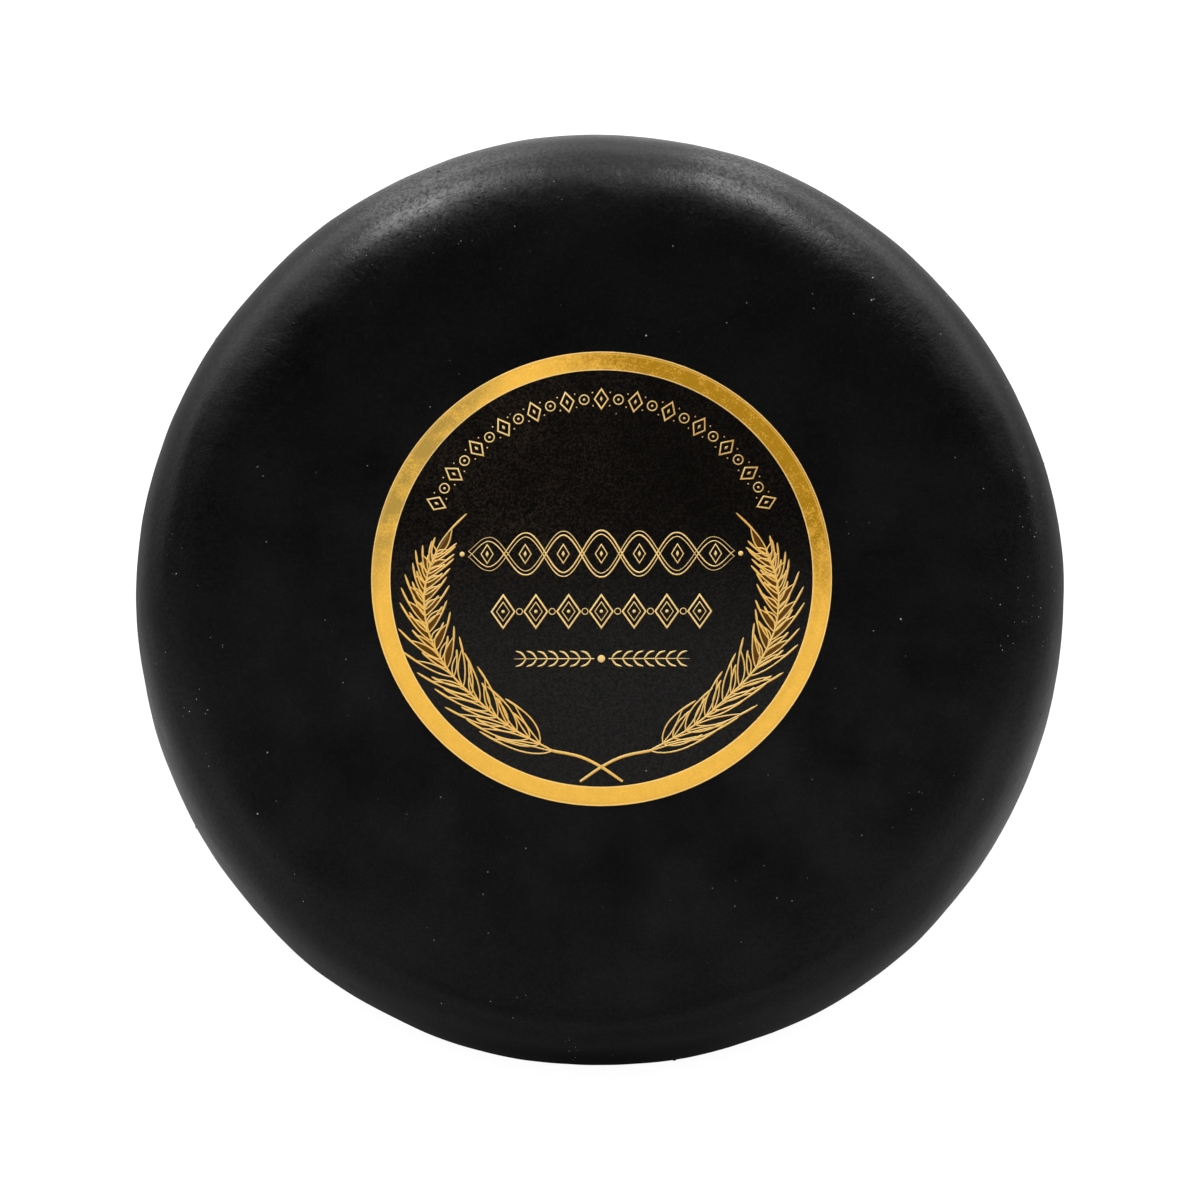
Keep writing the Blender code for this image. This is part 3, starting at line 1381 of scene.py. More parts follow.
@dataclass
class FoilPen:
    """Draws raised foil strokes, plates and dots on the label, in millimetres from its middle.

    A crown is how far the flat top reaches, and how high the sides stand, both as shares.
    """

    level: float
    relief: float = 0.085
    sink: float = 0.03
    stroke_crown: Flat = (0.22, 0.45)
    loop_crown: Flat = (0.25, 0.5)
    plate_crown: Flat = (0.82, 0.5)
    longest_mitre: float = 2.2
    dot_sides: int = 20
    ring_sides: int = 32
    draft: MeshDraft = field(default_factory=MeshDraft)

    def put(self, spot: Vector, lift: float) -> tuple[float, float, float]:
        """A place on the label, in metres."""
        return (spot.x * MM, spot.y * MM, (self.level + lift) * MM)

    def section(self, lift: float, crown: Flat) -> list[Flat]:
        """A stroke's cross-section.

        Args:
            lift: Its height, as a share of the foil's relief.
            crown: Its crown.

        Returns:
            Its (across, up) points, from foot to foot.
        """
        flat, side = crown
        top = self.relief * lift
        half = [(-0.5, -self.sink), (-0.5, side * top), (-flat, top)]
        return half + [(-across, rise) for across, rise in reversed(half)]

    @staticmethod
    def sleeve(count: int, size: int, closed: bool) -> list[Face]:
        """Joins a stroke's cross-sections.

        Args:
            count: How many there are.
            size: How many points each has.
            closed: Whether the last joins the first.

        Returns:
            The faces between them.
        """
        faces = []
        for row in range(count if closed else count - 1):
            near, far = row * size, ((row + 1) % count) * size
            faces += [(near + (i + 1) % size, near + i, far + i, far + (i + 1) % size) for i in range(size)]
        return faces

    def stroke(
        self, line: Sequence[Vector], width: float, taper: Flat = (1.0, 1.0), lift: float = 1.0
    ) -> None:
        """Draws a rounded stroke.

        Args:
            line: Its middle line.
            width: Its full width.
            taper: Its width at the two ends, as a share of the full width.
            lift: Its height, as a share of the foil's relief.
        """
        count = len(line)
        section = self.section(lift, self.stroke_crown)
        points = []
        for index, spot in enumerate(line):
            ahead = line[min(index + 1, count - 1)] - line[max(index - 1, 0)]
            side = Vector((ahead.y, -ahead.x)).normalized()
            share = index / (count - 1)
            swell = math.sin(math.pi * share) ** 0.5
            ends = taper[0] * (1 - share) + taper[1] * share
            wide = width * (ends + (1 - ends) * swell)
            points += [self.put(spot + side * (across * wide), rise) for across, rise in section]
        size = len(section)
        caps = [tuple(range(size)), tuple((count - 1) * size + i for i in reversed(range(size)))]
        self.draft.add(points, caps + self.sleeve(count, size, closed=False))

    def loop(self, outline: Sequence[Vector], width: float, lift: float = 1.0) -> None:
        """Draws a closed stroke.

        Args:
            outline: Its corners.
            width: Its full width.
            lift: Its height, as a share of the foil's relief.
        """
        count = len(outline)
        section = self.section(lift, self.loop_crown)
        points = []
        for index, spot in enumerate(outline):
            behind = (spot - outline[index - 1]).normalized()
            ahead = (outline[(index + 1) % count] - spot).normalized()
            side = Vector(((behind + ahead).y, -(behind + ahead).x)).normalized()
            reach = min(self.longest_mitre, 1 / max(0.2, side.dot(Vector((ahead.y, -ahead.x)))))
            points += [self.put(spot + side * (across * width * reach), rise) for across, rise in section]
        self.draft.add(points, self.sleeve(count, len(section), closed=True))

    def plate(self, outline: Sequence[Vector], lift: float = 1.0) -> None:
        """Draws a filled shape with a bevelled edge.

        Args:
            outline: Its corners, counter-clockwise.
            lift: Its height, as a share of the foil's relief.
        """
        flat, side = self.plate_crown
        middle = sum(outline, Vector((0.0, 0.0))) / len(outline)
        rows = ((1.0, -self.sink), (1.0, side * self.relief * lift), (flat, self.relief * lift))
        points = []
        for share, rise in rows:
            points += [self.put(middle + (spot - middle) * share, rise) for spot in outline]
        size = len(outline)
        faces = [tuple(reversed(range(size))), tuple(2 * size + i for i in range(size))]
        for row in range(2):
            near, far = row * size, (row + 1) * size
            faces += [(near + i, near + (i + 1) % size, far + (i + 1) % size, far + i) for i in range(size)]
        self.draft.add(points, faces)

    def dot(self, spot: Vector, radius: float) -> None:
        """Draws a round dot."""
        self.plate([spot + polar(turn, radius) for turn in even_turns(self.dot_sides)])

    def ring(self, spot: Vector, radius: float, width: float) -> None:
        """Draws a round ring."""
        self.loop([spot + polar(turn, radius) for turn in even_turns(self.ring_sides)], width)

    def build(self, name: str, finish: FoilFinish, place: Matrix) -> Piece:
        """Makes the drawn foil one piece.

        Args:
            name: Its name.
            finish: Its foil.
            place: Where the label lies.

        Returns:
            The piece.
        """
        made = self.draft.build(name, finish, sharp=50.0)
        made.matrix_world = place
        return adopt(made, Slot.FOIL)


@dataclass(frozen=True)
class GrainRow:
    """The grains along one side of an ear, from its base to its tip. Lengths are in millimetres."""

    hand: int
    lengths: tuple[float, ...]
    leans: tuple[float, ...]
    bellies: tuple[float, ...]
    gaps: tuple[float, ...]

    def at(self, share: float) -> tuple[float, float, float, float]:
        """Reads the row between its stops.

        Args:
            share: How far along the ear the grain begins, from 0 to 1.

        Returns:
            The grain's length, its lean in radians, its belly and its gap.
        """
        stops = np.linspace(0.0, 1.0, len(self.lengths))
        rows = (self.lengths, self.leans, self.bellies, self.gaps)
        length, lean, belly, gap = (float(np.interp(share, stops, row)) for row in rows)
        return length, math.radians(lean), belly, gap


@dataclass(frozen=True)
class BarleyGrain:
    """One grain: an outer husk line, and an inner one that joins it where the awn begins."""

    start: Vector
    way: Vector
    out: Vector
    length: float
    belly: float
    gap: float
    join: float
    lift: float = 1.0

    @classmethod
    def on(
        cls, spine: Sequence[Vector], share: float, row: GrainRow, draw: random.Random, scale: float
    ) -> "BarleyGrain":
        """Sets a grain on the ear's spine.

        Args:
            spine: The ear's middle line.
            share: How far along it the grain begins.
            row: The side's grains.
            draw: The ear's random draw.
            scale: The grain's length as a share of the row's.

        Returns:
            The grain.
        """
        index = min(len(spine) - 2, round(share * (len(spine) - 1)))
        start = spine[index]
        ahead = (spine[index + 1] - start).normalized()
        length, lean, belly, gap = row.at(share)
        length *= draw.uniform(0.93, 1.07) * scale
        lean = lean * (1.15 if scale < 1 else 1.0) + draw.uniform(-0.07, 0.07)
        way = Matrix.Rotation(-row.hand * lean, 2) @ ahead
        out = Vector((way.y, -way.x)) * row.hand
        join = draw.uniform(0.72, 0.84) - 0.12 * smooth_step(0.35, 0.65, share)
        if scale < 1:
            belly, gap, join = 0.6 * belly, 0.6 * gap, join + 0.1
        return cls(start, way, out, length, belly, gap, join, draw.uniform(0.88, 1.06))

    @classmethod
    def between(cls, start: Vector, end: Vector) -> "BarleyGrain":
        """Sets the last grain, which runs on from the spine to the ear's point."""
        way = (end - start).normalized()
        return cls(start, way, Vector((-way.y, way.x)), (end - start).length, 0.75, 1.5, 0.62)

    def line(self, inside: float, begin: float, reach: float) -> list[Vector]:
        """A line along the grain.

        Args:
            inside: 0 for the outer husk, 1 for the inner one, and shares of their gap elsewhere.
            begin: Where it begins, as a share of the grain's length.
            reach: Where it ends.

        Returns:
            Its points.
        """
        points = []
        for step in range(13):
            t = begin + (reach - begin) * step / 12
            swell = self.belly * math.sin(math.pi * t**0.75)
            swell -= inside * self.gap * math.sin(math.pi * min(1.0, t / self.join) ** 0.85)
            points.append(self.start + self.way * (self.length * t) + self.out * swell)
        return points


@dataclass
class BarleyEar:
    """A line-drawn ear of barley that curves up one side of the label. Sizes are in millimetres."""

    side: int
    seed: int
    pairs: int = 15
    crowding: float = 1.25
    knots: tuple[Flat, ...] = (
        (-9.6, -34.8),
        (-17.6, -30.3),
        (-24.1, -25.0),
        (-30.3, -18.7),
        (-34.1, -11.5),
        (-35.2, -5.0),
        (-34.6, 0.4),
        (-33.1, 4.4),
    )
    stem: tuple[Flat, ...] = ((-9.6, -34.8), (-4.4, -35.9), (-0.2, -37.9), (4.2, -40.9))
    tip: Flat = (-26.8, 12.9)
    rows: tuple[GrainRow, ...] = (
        GrainRow(
            -1,
            (14.8, 13.4, 11.8, 10.0, 8.6, 6.2, 4.4),
            (12, 16, 20, 20, 22, 24, 18),
            (1.7, 1.2, 0.8, 0.7, 0.6, 0.5, 0.4),
            (1.5, 1.3, 1.2, 1.3, 1.4, 1.3, 1.0),
        ),
        GrainRow(
            1,
            (10.8, 10.6, 9.8, 8.2, 7.2, 6.6, 5.6),
            (22, 29, 36, 43, 44, 40, 30),
            (1.9, 1.1, 0.7, 0.5, 0.4, 0.3, 0.3),
            (1.6, 1.4, 1.4, 1.5, 1.5, 1.4, 1.0),
        ),
    )
    line_width: float = 0.30
    small_until: float = 0.9
    shaded_from: float = 0.42
    shaded_length: float = 5.0

    def mirrored(self, points: Iterable[Vector]) -> list[Vector]:
        """The points on this ear's own side of the label."""
        return [Vector((point.x * -self.side, point.y)) for point in points]

    def draw(self, pen: FoilPen, shade: FoilPen) -> None:
        """Draws the ear.

        Args:
            pen: The pen for its bright lines.
            shade: The pen for the deeper gold inside its grains.
        """
        width = self.line_width
        spine = smooth_curve(self.knots, 16)
        pen.stroke(self.mirrored(spine), 1.35 * width, (1.0, 0.6), 1.15)
        pen.stroke(self.mirrored(smooth_curve(self.stem, 8)), 1.9 * width, (1.0, 0.8), 1.1)
        draw = random.Random(self.seed)
        for number in range(self.pairs):
            for row in self.rows:
                for step, scale in ((0.0, 1.0), (0.5, 0.6)):
                    even = (number + step + 0.25 * (row.hand + 1)) / self.pairs
                    share = 1 - max(0.0, 1 - even) ** self.crowding
                    if scale < 1 and share > self.small_until:
                        continue
                    self.grain(pen, shade, BarleyGrain.on(spine, share, row, draw, scale), share)
        self.grain(pen, shade, BarleyGrain.between(spine[-1], Vector(self.tip)), 1.0)

    def grain(self, pen: FoilPen, shade: FoilPen, grain: BarleyGrain, share: float) -> None:
        """Draws one grain: the two husk lines that meet in its awn, the awn, and its shade.

        Args:
            pen: The pen for the bright lines.
            shade: The pen for the deeper gold.
            grain: The grain.
            share: How far along the ear it begins.
        """
        width, join, lift = self.line_width, grain.join, grain.lift
        pen.stroke(self.mirrored(grain.line(0.0, 0.0, 1.0)), width, (0.9, 0.4), lift)
        pen.stroke(self.mirrored(grain.line(1.0, 0.03, join)), width, (0.8, 0.5), lift)
        pen.stroke(self.mirrored(grain.line(0.0, 0.8 * join, 1.0)), 1.45 * width, (0.6, 0.25), 1.1 * lift)
        if share > self.shaded_from and grain.length > self.shaded_length:
            outer, inner = (grain.line(inside, 0.08, 0.82 * join) for inside in (0.22, 0.86))
            shade.plate(self.mirrored(self.wound(outer + inner[::-1])), 0.35)

    def wound(self, outline: list[Vector]) -> list[Vector]:
        """The outline in the order that is counter-clockwise once it is mirrored."""
        area = sum(a.cross(b) for a, b in zip(outline, outline[1:] + outline[:1]))
        return outline if area * -self.side > 0 else outline[::-1]


def lozenge(middle: Vector, width: float, height: float, turn: float = 0.0) -> list[Vector]:
    """The four corners of a lozenge.

    Args:
        middle: Its middle.
        width: Its width.
        height: Its height.
        turn: How far it is turned, in radians.

    Returns:
        Its corners, counter-clockwise.
    """
    spin = Matrix.Rotation(turn, 2)
    corners = ((width / 2, 0.0), (0.0, height / 2), (-width / 2, 0.0), (0.0, -height / 2))
    return [middle + spin @ Vector(corner) for corner in corners]


@dataclass
class Ornaments:
    """Plain traditional ornament that fills the label's middle and its upper arc. In millimetres.

    A lozenge is its width and its height, and a ring is its radius and its line's width.
    """

    arc_radius: float = 36.1
    arc_reach: float = math.radians(65.5)
    arc_count: int = 25
    arc_lozenge: Flat = (2.7, 4.0)
    arc_line: float = 0.30
    arc_kernel: Flat = (0.6, 1.1)
    arc_ring: Flat = (0.95, 0.25)
    arc_dot: float = 0.26
    arc_beads: Flat = (1.35, 0.15)
    plait_height: float = 8.6
    plait_width: float = 53.0
    plait_eyes: int = 7
    plait_level: float = 4.7
    plait_lines: tuple[Flat, ...] = ((-0.40, 0.32), (0.36, 0.22))
    plait_lozenge: Flat = (2.4, 3.8)
    plait_line: float = 0.22
    plait_kernel: Flat = (0.7, 1.3)
    plait_ends: Flat = (1.2, 0.5)
    row_level: float = -6.9
    row_count: int = 7
    row_pitch: float = 6.5
    row_lozenges: tuple[tuple[Flat, float], ...] = (((4.6, 6.6), 0.34), ((2.6, 3.8), 0.19))
    row_dot: float = 0.34
    row_ring: Flat = (0.60, 0.20)
    sprig_level: float = -16.4
    sprig_bead: float = 0.75
    sprig_stem: Flat = (1.4, 16.0)
    sprig_line: float = 0.22
    sprig_leaves: int = 7
    sprig_first: float = 2.0
    sprig_pitch: float = 2.15
    sprig_leaf: Flat = (2.1, 1.55)
    sprig_bend: Flat = (-0.15, 0.35)
    sprig_leaf_width: float = 0.39

    def draw(self, pen: FoilPen) -> None:
        """Draws all of the ornament.

        Args:
            pen: The pen that draws it.
        """
        self.draw_arc(pen)
        self.draw_plait(pen)
        self.draw_row(pen)
        self.draw_sprig(pen)

    def draw_arc(self, pen: FoilPen) -> None:
        """Draws lozenges and rings in turn along the upper arc, with dots between each two.

        Args:
            pen: The pen that draws them.
        """
        step = 2 * self.arc_reach / (self.arc_count - 1)
        bead_lift, bead_radius = self.arc_beads
        for index in range(self.arc_count):
            angle = QUARTER_TURN + self.arc_reach - step * index
            spot = polar(angle, self.arc_radius)
            if index % 2 == 0:
                pen.loop(lozenge(spot, *self.arc_lozenge, angle - QUARTER_TURN), self.arc_line)
                pen.plate(lozenge(spot, *self.arc_kernel, angle - QUARTER_TURN))
            else:
                pen.ring(spot, *self.arc_ring)
                pen.dot(spot, self.arc_dot)
            if index < self.arc_count - 1:
                for lift in (-bead_lift, bead_lift):
                    pen.dot(polar(angle - step / 2, self.arc_radius + lift), bead_radius)

    def draw_plait(self, pen: FoilPen) -> None:
        """Draws two crossing waves, each a broad line beside a fine one, with a lozenge in each eye.

        Args:
            pen: The pen that draws them.
        """
        half = self.plait_width / 2
        for hand in (-1, 1):
            for shift, width in self.plait_lines:
                pen.stroke(self.plait_line_points(hand, shift), width, (0.4, 0.4), 1.0 + 0.12 * hand)
        pitch = self.plait_width / self.plait_eyes
        for index in range(self.plait_eyes):
            spot = Vector((-half + pitch * (index + 0.5), self.plait_level))
            pen.loop(lozenge(spot, *self.plait_lozenge), self.plait_line)
            pen.plate(lozenge(spot, *self.plait_kernel))
        beyond, radius = self.plait_ends
        for hand in (-1, 1):
            pen.dot(Vector((hand * (half + beyond), self.plait_level)), radius)

    def plait_line_points(self, hand: int, shift: float) -> list[Vector]:
        """One line of the plait.

        Args:
            hand: 1 for the wave that begins upwards, -1 for the other.
            shift: How far outside the wave's own middle the line runs.

        Returns:
            Its points.
        """
        steps = 22 * self.plait_eyes
        line = []
        for index in range(steps + 1):
            share = index / steps
            fade = math.sin(math.pi * share) ** 0.25
            wave = math.sin(math.pi * self.plait_eyes * share) * self.plait_height / 2 * fade
            slope = abs(math.cos(math.pi * self.plait_eyes * share))
            rise = hand * (wave + shift * (1 + 0.5 * slope))
            line.append(Vector((-self.plait_width / 2 + self.plait_width * share, self.plait_level + rise)))
        return line

    def draw_row(self, pen: FoilPen) -> None:
        """Draws a row of double lozenges with rings between them.

        Args:
            pen: The pen that draws them.
        """
        for index in range(self.row_count):
            spot = Vector(((index - (self.row_count - 1) / 2) * self.row_pitch, self.row_level))
            for size, line in self.row_lozenges:
                pen.loop(lozenge(spot, *size), line)
            pen.dot(spot, self.row_dot)
            if index < self.row_count - 1:
                pen.ring(spot + Vector((self.row_pitch / 2, 0.0)), *self.row_ring)

    def draw_sprig(self, pen: FoilPen) -> None:
        """Draws a small sprig of leaves that runs out both ways from a bead.

        Args:
            pen: The pen that draws it.
        """
        middle = Vector((0.0, self.sprig_level))
        first, length = self.sprig_stem
        pen.dot(middle, self.sprig_bead)
        for hand in (-1, 1):
            line = [middle + Vector((hand * (first + length * step / 12), 0.0)) for step in range(13)]
            pen.stroke(line, self.sprig_line, (1.0, 0.4))
            for leaf in range(self.sprig_leaves):
                start = middle + Vector((hand * (self.sprig_first + self.sprig_pitch * leaf), 0.0))
                for lift in (-1, 1):
                    end, bow = (Vector((hand * x, lift * y)) for x, y in (self.sprig_leaf, self.sprig_bend))
                    bend = start.lerp(start + end, 0.5) + bow
                    knots = (tuple(start), tuple(bend), tuple(start + end))
                    pen.stroke(smooth_curve(knots, 4), self.sprig_leaf_width, (0.3, 0.2))


@dataclass
class PaperLabel:
    """The round label: its paper, its raised foil border, and what is printed inside it."""

    place: LabelPlace
    effects: SharedEffects
    foil: FoilLook = field(default_factory=FoilLook)
    segments: int = 256
    ring_shares: tuple[float, ...] = (0.0, 0.3, 0.6, 0.85)
    edge: float = 0.08 * MM
    depth: float = 0.04 * MM
    border_inset: float = 0.03 * MM
    border_depth: float = 0.05 * MM
    bevel: Flat = (0.06 * MM, 0.03 * MM)
    bead: float = 0.20 * MM
    groove: float = 0.14 * MM

    def make_paper(self) -> Piece:
        """Builds the paper disc, down to the wax that it is stuck on.

        Returns:
            The paper.
        """
        top, radius = self.place.thickness, self.place.radius
        section = [(radius * share, top) for share in self.ring_shares]
        section += [(radius - self.edge, top), (radius, top - self.edge)]
        section += [(radius, -self.depth), (0.0, -self.depth)]
        draft = MeshDraft()
        add_turned(draft, section, self.segments, closed=False)
        paper = draft.build("label_paper", PaperFinish(self.effects, PaperLook(), radius), sharp=40.0)
        paper.matrix_world = self.place.matrix
        return adopt(paper, Slot.PAPER, LABEL_NODE)

    def make_border(self) -> Piece:
        """Builds the foil border, with a bead on each edge and a shallow groove beside each bead.

        Returns:
            The border.
        """
        outer = self.place.radius - self.border_inset
        inner = self.place.radius - self.place.border_width
        top = self.place.thickness + self.place.border_relief
        foot = self.place.thickness - self.border_depth
        bevel, drop = self.bevel
        low, flat = top - drop, top - drop / 2
        bead, dip = self.bead, self.groove
        section = [
            (inner, foot),
            (inner, low),
            (inner + bevel, top),
            (inner + bead, top),
            (inner + bead + dip, low + 0.02 * MM),
            (inner + bead + 2 * dip, flat),
            (outer - bead - 3 * dip, flat),
            (outer - bead - 2 * dip, low),
            (outer - bead - dip, low),
            (outer - bead, top),
            (outer - bevel, top),
            (outer, low),
            (outer, foot),
        ]
        draft = MeshDraft()
        add_turned(draft, section, self.segments, closed=True)
        finish = FoilFinish(self.effects, self.foil, FoilTone.BORDER, (inner, outer))
        border = draft.build("foil_border", finish, sharp=50.0)
        border.matrix_world = self.place.matrix
        return adopt(border, Slot.FOIL)

    def make_print(self) -> None:
        """Draws the ears of barley and the ornament in raised foil."""
        level = self.place.thickness / MM
        bright = FoilFinish(self.effects, self.foil, FoilTone.PRINT)
        golden = FoilFinish(self.effects, self.foil, FoilTone.GRAIN)
        deep = FoilFinish(self.effects, self.foil, FoilTone.SHADE)
        shade = FoilPen(level)
        for name, side, seed in (("barley_ear_left", -1, 5), ("barley_ear_right", 1, 9)):
            pen = FoilPen(level)
            BarleyEar(side, seed).draw(pen, shade)
            pen.build(name, golden, self.place.matrix)
        shade.build("barley_grains", deep, self.place.matrix)
        pen = FoilPen(level)
        Ornaments().draw(pen)
        pen.build("label_ornament", bright, self.place.matrix)


@dataclass
class LooseDust:
    """Pale flecks of dust that lie on the wax."""

    seed: int = 23
    count: int = 150
    least_radius: float = 0.049
    widths: Flat = (0.05, 0.14)
    height_share: float = 0.6
    sides: int = 5
    colour: Colour = (0.42, 0.42, 0.40)
    shaded: Colour = (0.16, 0.16, 0.15)
    patches: Flat = (0.8 * MM, 3.0)
    gloss: Flat = (0.8, 0.95)
    clusters: tuple[tuple[Flat, float, int], ...] = (
        ((85.6, 14.0), 1.8, 8),
        ((86.0, 8.5), 1.2, 4),
        ((86.0, -4.7), 1.8, 6),
        ((82.5, -9.5), 3.0, 7),
        ((90.0, -12.5), 1.2, 4),
        ((80.5, -14.0), 1.2, 4),
        ((-86.5, 7.5), 1.0, 3),
        ((-85.3, 0.8), 1.0, 3),
        ((-89.0, -17.0), 1.0, 3),
        ((-80.5, -27.0), 1.6, 7),
        ((-76.0, -14.5), 0.8, 2),
        ((-5.2, -94.0), 0.9, 14),
        ((-46.0, 70.0), 9.0, 8),
        ((-20.0, 78.0), 7.0, 8),
    )
    spot_spread: float = 0.1
    spots: tuple[Flat, ...] = (
        (22.2, -63.0),
        (26.8, -61.5),
        (26.4, -66.5),
        (35.0, -65.0),
        (28.0, -88.5),
        (-33.8, -70.5),
        (-17.0, -88.0),
    )

    def build(self, wheel: Piece, effects: SharedEffects) -> Piece:
        """Scatters the flecks.

        Args:
            wheel: The wheel's skin, which carries them.
            effects: The shared node groups.

        Returns:
            The flecks, joined into one piece.
        """
        draw = random.Random(self.seed)
        skin = SkinSpots(wheel, draw)
        spots = skin.scatter(self.count, self.least_radius)
        for cluster in self.clusters:
            spots += skin.cluster(*cluster)
        for middle in self.spots:
            spots += skin.cluster(middle, self.spot_spread, 1)
        draft = MeshDraft()
        for spot in spots:
            width = draw.uniform(*self.widths) * MM
            add_bead(draft, spot, width, self.height_share * width, self.sides)
        finish = Finish("pale_dust", effects)
        shade = finish.mottle(*self.patches)
        finish.set("Base Color", finish.graph.mix(shade, self.colour, self.shaded))
        finish.set("Roughness", finish.graph.remap(shade, to=self.gloss))
        return adopt(draft.build("dust_flecks", finish), Slot.WAX)


@dataclass(frozen=True)
class Softbox:
    """A rectangular soft light. Its angles are in degrees."""

    name: str
    azimuth: float
    elevation: float
    distance: float
    size: Flat
    power: float
    seen_in_gloss: bool = True

    def build(self, aim: Vector) -> Piece:
        """Makes the light.

        Args:
            aim: The point that it faces.

        Returns:
            The light.
        """
        turn, lift = math.radians(self.azimuth), math.radians(self.elevation)
        out = Vector((math.sin(turn) * math.cos(lift), math.cos(turn) * math.cos(lift), math.sin(lift)))
        lamp = bpy.data.lights.new(self.name, "AREA")
        lamp.shape = "RECTANGLE"
        lamp.size, lamp.size_y = self.size
        lamp.energy = self.power
        made = bpy.data.objects.new(self.name, lamp)
        made.location = aim + out * self.distance
        made.rotation_euler = out.to_track_quat("Z", "Y").to_euler()
        made.visible_camera = False
        made.visible_glossy = self.seen_in_gloss
        bpy.context.scene.collection.objects.link(made)
        return made


@dataclass
class Studio:
    """A pale floor, a white surround and soft lights, with the camera of the photograph.

    A span is where a glow begins and where it is full. The profiles run from the front of the wheel,
    at -1, to its back, at 1.
    """

    aim: Vector
    camera_elevation: float = 81.0
    camera_distance: float = 1.0
    camera_lens: float = 145.67
    sensor: float = 36.0
    near_clip: float = 0.01
    floor_reach: float = 4.0
    floor_colour: Colour = (0.3, 0.3, 0.3)
    floor_shown: Colour = (0.92, 0.92, 0.92)
    floor_roughness: float = 0.9
    front_span: Flat = (0.105, 0.15)
    far_span: Flat = (0.13, 0.34)
    back_turn: Flat = (0.24, 1.12)
    back_lean: float = -0.34
    back_rise: Flat = (0.57, 0.28)
    lobe_aside: Flat = (0.10, 0.30)
    lobe_level: float = 0.55
    lobe_turn: Flat = (0.45, 0.75)
    lobe_rise: Flat = (0.34, 0.12)
    side_rise: Flat = (0.87, 0.18)
    overhead_turn: Flat = (0.30, 0.14)
    overhead_level: Flat = (0.010, 0.124)
    front_turn: Flat = (-0.05, -0.40)
    front_gain: Flat = (1.0, 1.35)
    dome_rise: Flat = (0.0, 0.70)
    dome_gain: Flat = (0.5, 1.0)
    floor_front: tuple[Flat, ...] = (
        (-1.0, 0.055),
        (-0.90, 0.055),
        (-0.66, 0.0),
        (1.0, 0.0),
    )
    floor_near: tuple[Flat, ...] = (
        (-1.0, 0.008),
        (-0.966, 0.02),
        (-0.866, 0.06),
        (-0.707, 0.14),
        (-0.50, 0.28),
        (-0.26, 0.31),
        (0.0, 0.17),
        (0.26, 0.16),
        (0.50, 0.22),
        (0.707, 0.25),
        (0.866, 0.33),
        (0.966, 0.48),
        (1.0, 0.50),
    )
    floor_far: tuple[Flat, ...] = (
        (-1.0, 0.10),
        (-0.707, 0.09),
        (-0.50, 0.0),
        (0.0, 0.0),
        (0.26, 0.12),
        (0.50, 0.40),
        (0.707, 0.65),
        (0.866, 0.95),
        (0.966, 1.30),
        (1.0, 0.50),
    )
    surround_low: tuple[Flat, ...] = (
        (-1.0, 0.03),
        (-0.866, 0.05),
        (-0.707, 0.14),
        (-0.50, 0.28),
        (-0.26, 0.30),
        (0.0, 0.11),
        (0.26, 0.08),
        (0.50, 0.06),
        (0.707, 0.0),
    )
    lights: tuple[Softbox, ...] = (
        Softbox("overhead_fill", 0.0, 78.0, 1.3, (1.1, 1.1), 16.3, seen_in_gloss=False),
        Softbox("shoulder_left", -23.0, 28.0, 0.9, (0.09, 0.24), 0.80),
        Softbox("shoulder_right", 16.0, 32.0, 0.9, (0.10, 0.26), 0.65),
    )

    def build(self) -> None:
        """Makes the floor, the surround, the lights and the camera."""
        self.make_floor()
        self.make_surround()
        for light in self.lights:
            light.build(self.aim)
        self.make_camera()
        bpy.context.scene.view_settings.view_transform = "Standard"

    def make_floor(self) -> Piece:
        """Lays the pale floor, white to the camera and dim in reflections.

        Returns:
            The floor.
        """
        reach = self.floor_reach
        spots = [(-reach, -reach, 0.0), (reach, -reach, 0.0), (reach, reach, 0.0), (-reach, reach, 0.0)]
        data = bpy.data.meshes.new("studio_floor")
        data.from_pydata(spots, [], [(0, 1, 2, 3)])
        floor = bpy.data.objects.new("studio_floor", data)
        bpy.context.scene.collection.objects.link(floor)
        material = bpy.data.materials.new("pale_sweep")
        material.use_nodes = True
        graph = Graph(material.node_tree)
        shader = material.node_tree.nodes["Principled BSDF"]
        shown = graph.node("LightPath").outputs["Is Camera Ray"]
        for name, value in (
            ("Base Color", graph.mix(shown, (0.0, 0.0, 0.0), self.floor_colour)),
            ("Roughness", self.floor_roughness),
            ("Specular IOR Level", 0.0),
            ("Emission Color", graph.mix(shown, self.glow(graph), self.floor_shown)),
            ("Emission Strength", 1.0),
        ):
            graph.feed(shader.inputs[name], value)
        data.materials.append(material)
        return floor

    def glow(self, graph: Graph) -> Socket:
        """The light that the floor sends into the wheel's reflections.

        Args:
            graph: The floor's node graph.

        Returns:
            A grey that depends on the side of the wheel, and on how far away the floor is.
        """
        reach = graph.vector("LENGTH", graph.place())
        towards = graph.math("DIVIDE", graph.split(graph.place())["Y"], reach)
        far = graph.times(graph.profile(towards, self.floor_far), graph.remap(reach, self.far_span))
        front = graph.times(graph.profile(towards, self.floor_front), graph.remap(reach, self.front_span))
        level = graph.math("ADD", graph.math("ADD", graph.profile(towards, self.floor_near), front), far)
        grey = graph.node("CombineColor")
        for name in ("Red", "Green", "Blue"):
            graph.feed(grey.inputs[name], level)
        return grey.outputs["Color"]

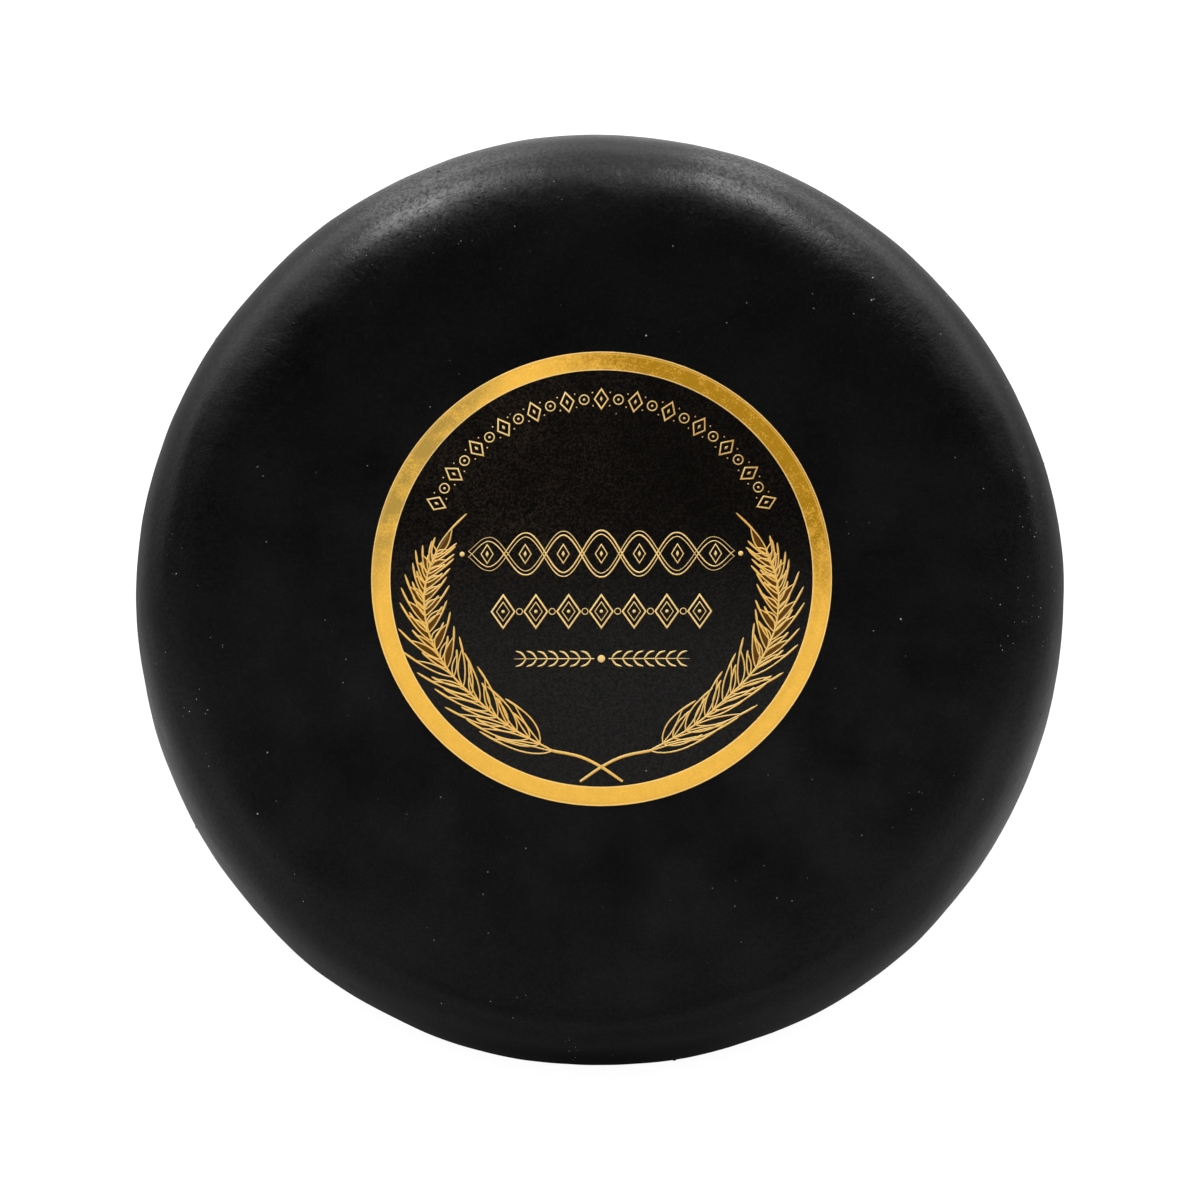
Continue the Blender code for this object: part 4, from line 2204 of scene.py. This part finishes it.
    def surround_level(self, graph: Graph) -> Socket:
        """The light that the surround sends into the wheel's reflections.

        Args:
            graph: The surround's node graph.

        Returns:
            A level that is dim overhead, brighter behind the wheel, and soft at its sides.
        """
        facing = graph.split(graph.node("TexCoord").outputs["Generated"])
        flat = graph.math("SQRT", graph.math("SUBTRACT", 1.0001, graph.math("POWER", facing["Z"], 2.0)))
        behind = graph.math("DIVIDE", facing["Y"], flat)
        aside = graph.math("DIVIDE", graph.math("ABSOLUTE", facing["X"]), flat)
        leaning = graph.math("MULTIPLY_ADD", behind, self.back_lean, facing["Z"])
        back = graph.times(graph.remap(behind, self.back_turn), graph.remap(leaning, self.back_rise))
        lobes = graph.times(
            graph.remap(aside, self.lobe_aside, (0.0, self.lobe_level)),
            graph.remap(behind, self.lobe_turn),
            graph.remap(facing["Z"], self.lobe_rise),
        )
        low = graph.profile(behind, self.surround_low)
        side = graph.times(low, graph.remap(facing["Z"], self.side_rise))
        overhead = graph.times(
            graph.remap(facing["Y"], self.overhead_turn, self.overhead_level),
            graph.remap(facing["Y"], self.front_turn, self.front_gain),
            graph.remap(facing["Z"], self.dome_rise, self.dome_gain),
        )
        brightest = graph.math("MAXIMUM", graph.math("ADD", back, lobes), side)
        return graph.math("ADD", brightest, overhead)

    def make_surround(self) -> None:
        """Lights the surround, which the camera sees as plain white."""
        world = bpy.data.worlds.new("studio_surround")
        world.use_nodes = True
        world.node_tree.nodes.clear()
        bpy.context.scene.world = world
        graph = Graph(world.node_tree)
        chosen = graph.node("MixShader")
        graph.feed(chosen.inputs[0], graph.node("LightPath").outputs["Is Camera Ray"])
        for index, strength in ((1, self.surround_level(graph)), (2, 1.0)):
            light = graph.node("Background")
            graph.feed(light.inputs["Color"], (1.0, 1.0, 1.0, 1.0))
            graph.feed(light.inputs["Strength"], strength)
            graph.feed(chosen.inputs[index], light.outputs["Background"])
        graph.feed(graph.node("OutputWorld").inputs["Surface"], chosen.outputs["Shader"])

    def make_camera(self) -> Piece:
        """Places the camera, which looks down on the label from slightly in front.

        Returns:
            The camera.
        """
        data = bpy.data.cameras.new("photo_camera")
        data.lens = self.camera_lens
        data.sensor_width = self.sensor
        data.clip_start = self.near_clip
        camera = bpy.data.objects.new("photo_camera", data)
        lift = math.radians(self.camera_elevation)
        back = Vector((0.0, -math.cos(lift), math.sin(lift)))
        camera.location = self.aim + back * self.camera_distance
        camera.rotation_euler = back.to_track_quat("Z", "Y").to_euler()
        bpy.context.scene.collection.objects.link(camera)
        bpy.context.scene.camera = camera
        return camera


def corners(box: Box) -> list[list[float]]:
    """A box's two corners as plain lists."""
    return [[float(value) for value in corner] for corner in box]


def main() -> None:
    """Builds the wheel, the label, the dust and the studio.
    """
    logging.basicConfig(level=logging.INFO, format="%(name)s: %(message)s")
    effects = SharedEffects()
    form = WheelForm()
    label = LabelPlace.from_frame(form)
    waxed = WaxedWheel(form, label)
    wax = WaxFinish(effects, WaxLook(), waxed.marks, waxed.pebbles)
    wheel = waxed.make_skin(wax)
    waxed.make_nibs(wheel, wax)
    LooseDust().build(wheel, effects)
    paper = PaperLabel(label, effects)
    paper.make_paper()
    paper.make_border()
    paper.make_print()
    Studio(aim=Vector((0.12 * MM, -0.05 * MM, form.height / 2))).build()


if __name__ == "__main__":
    main()
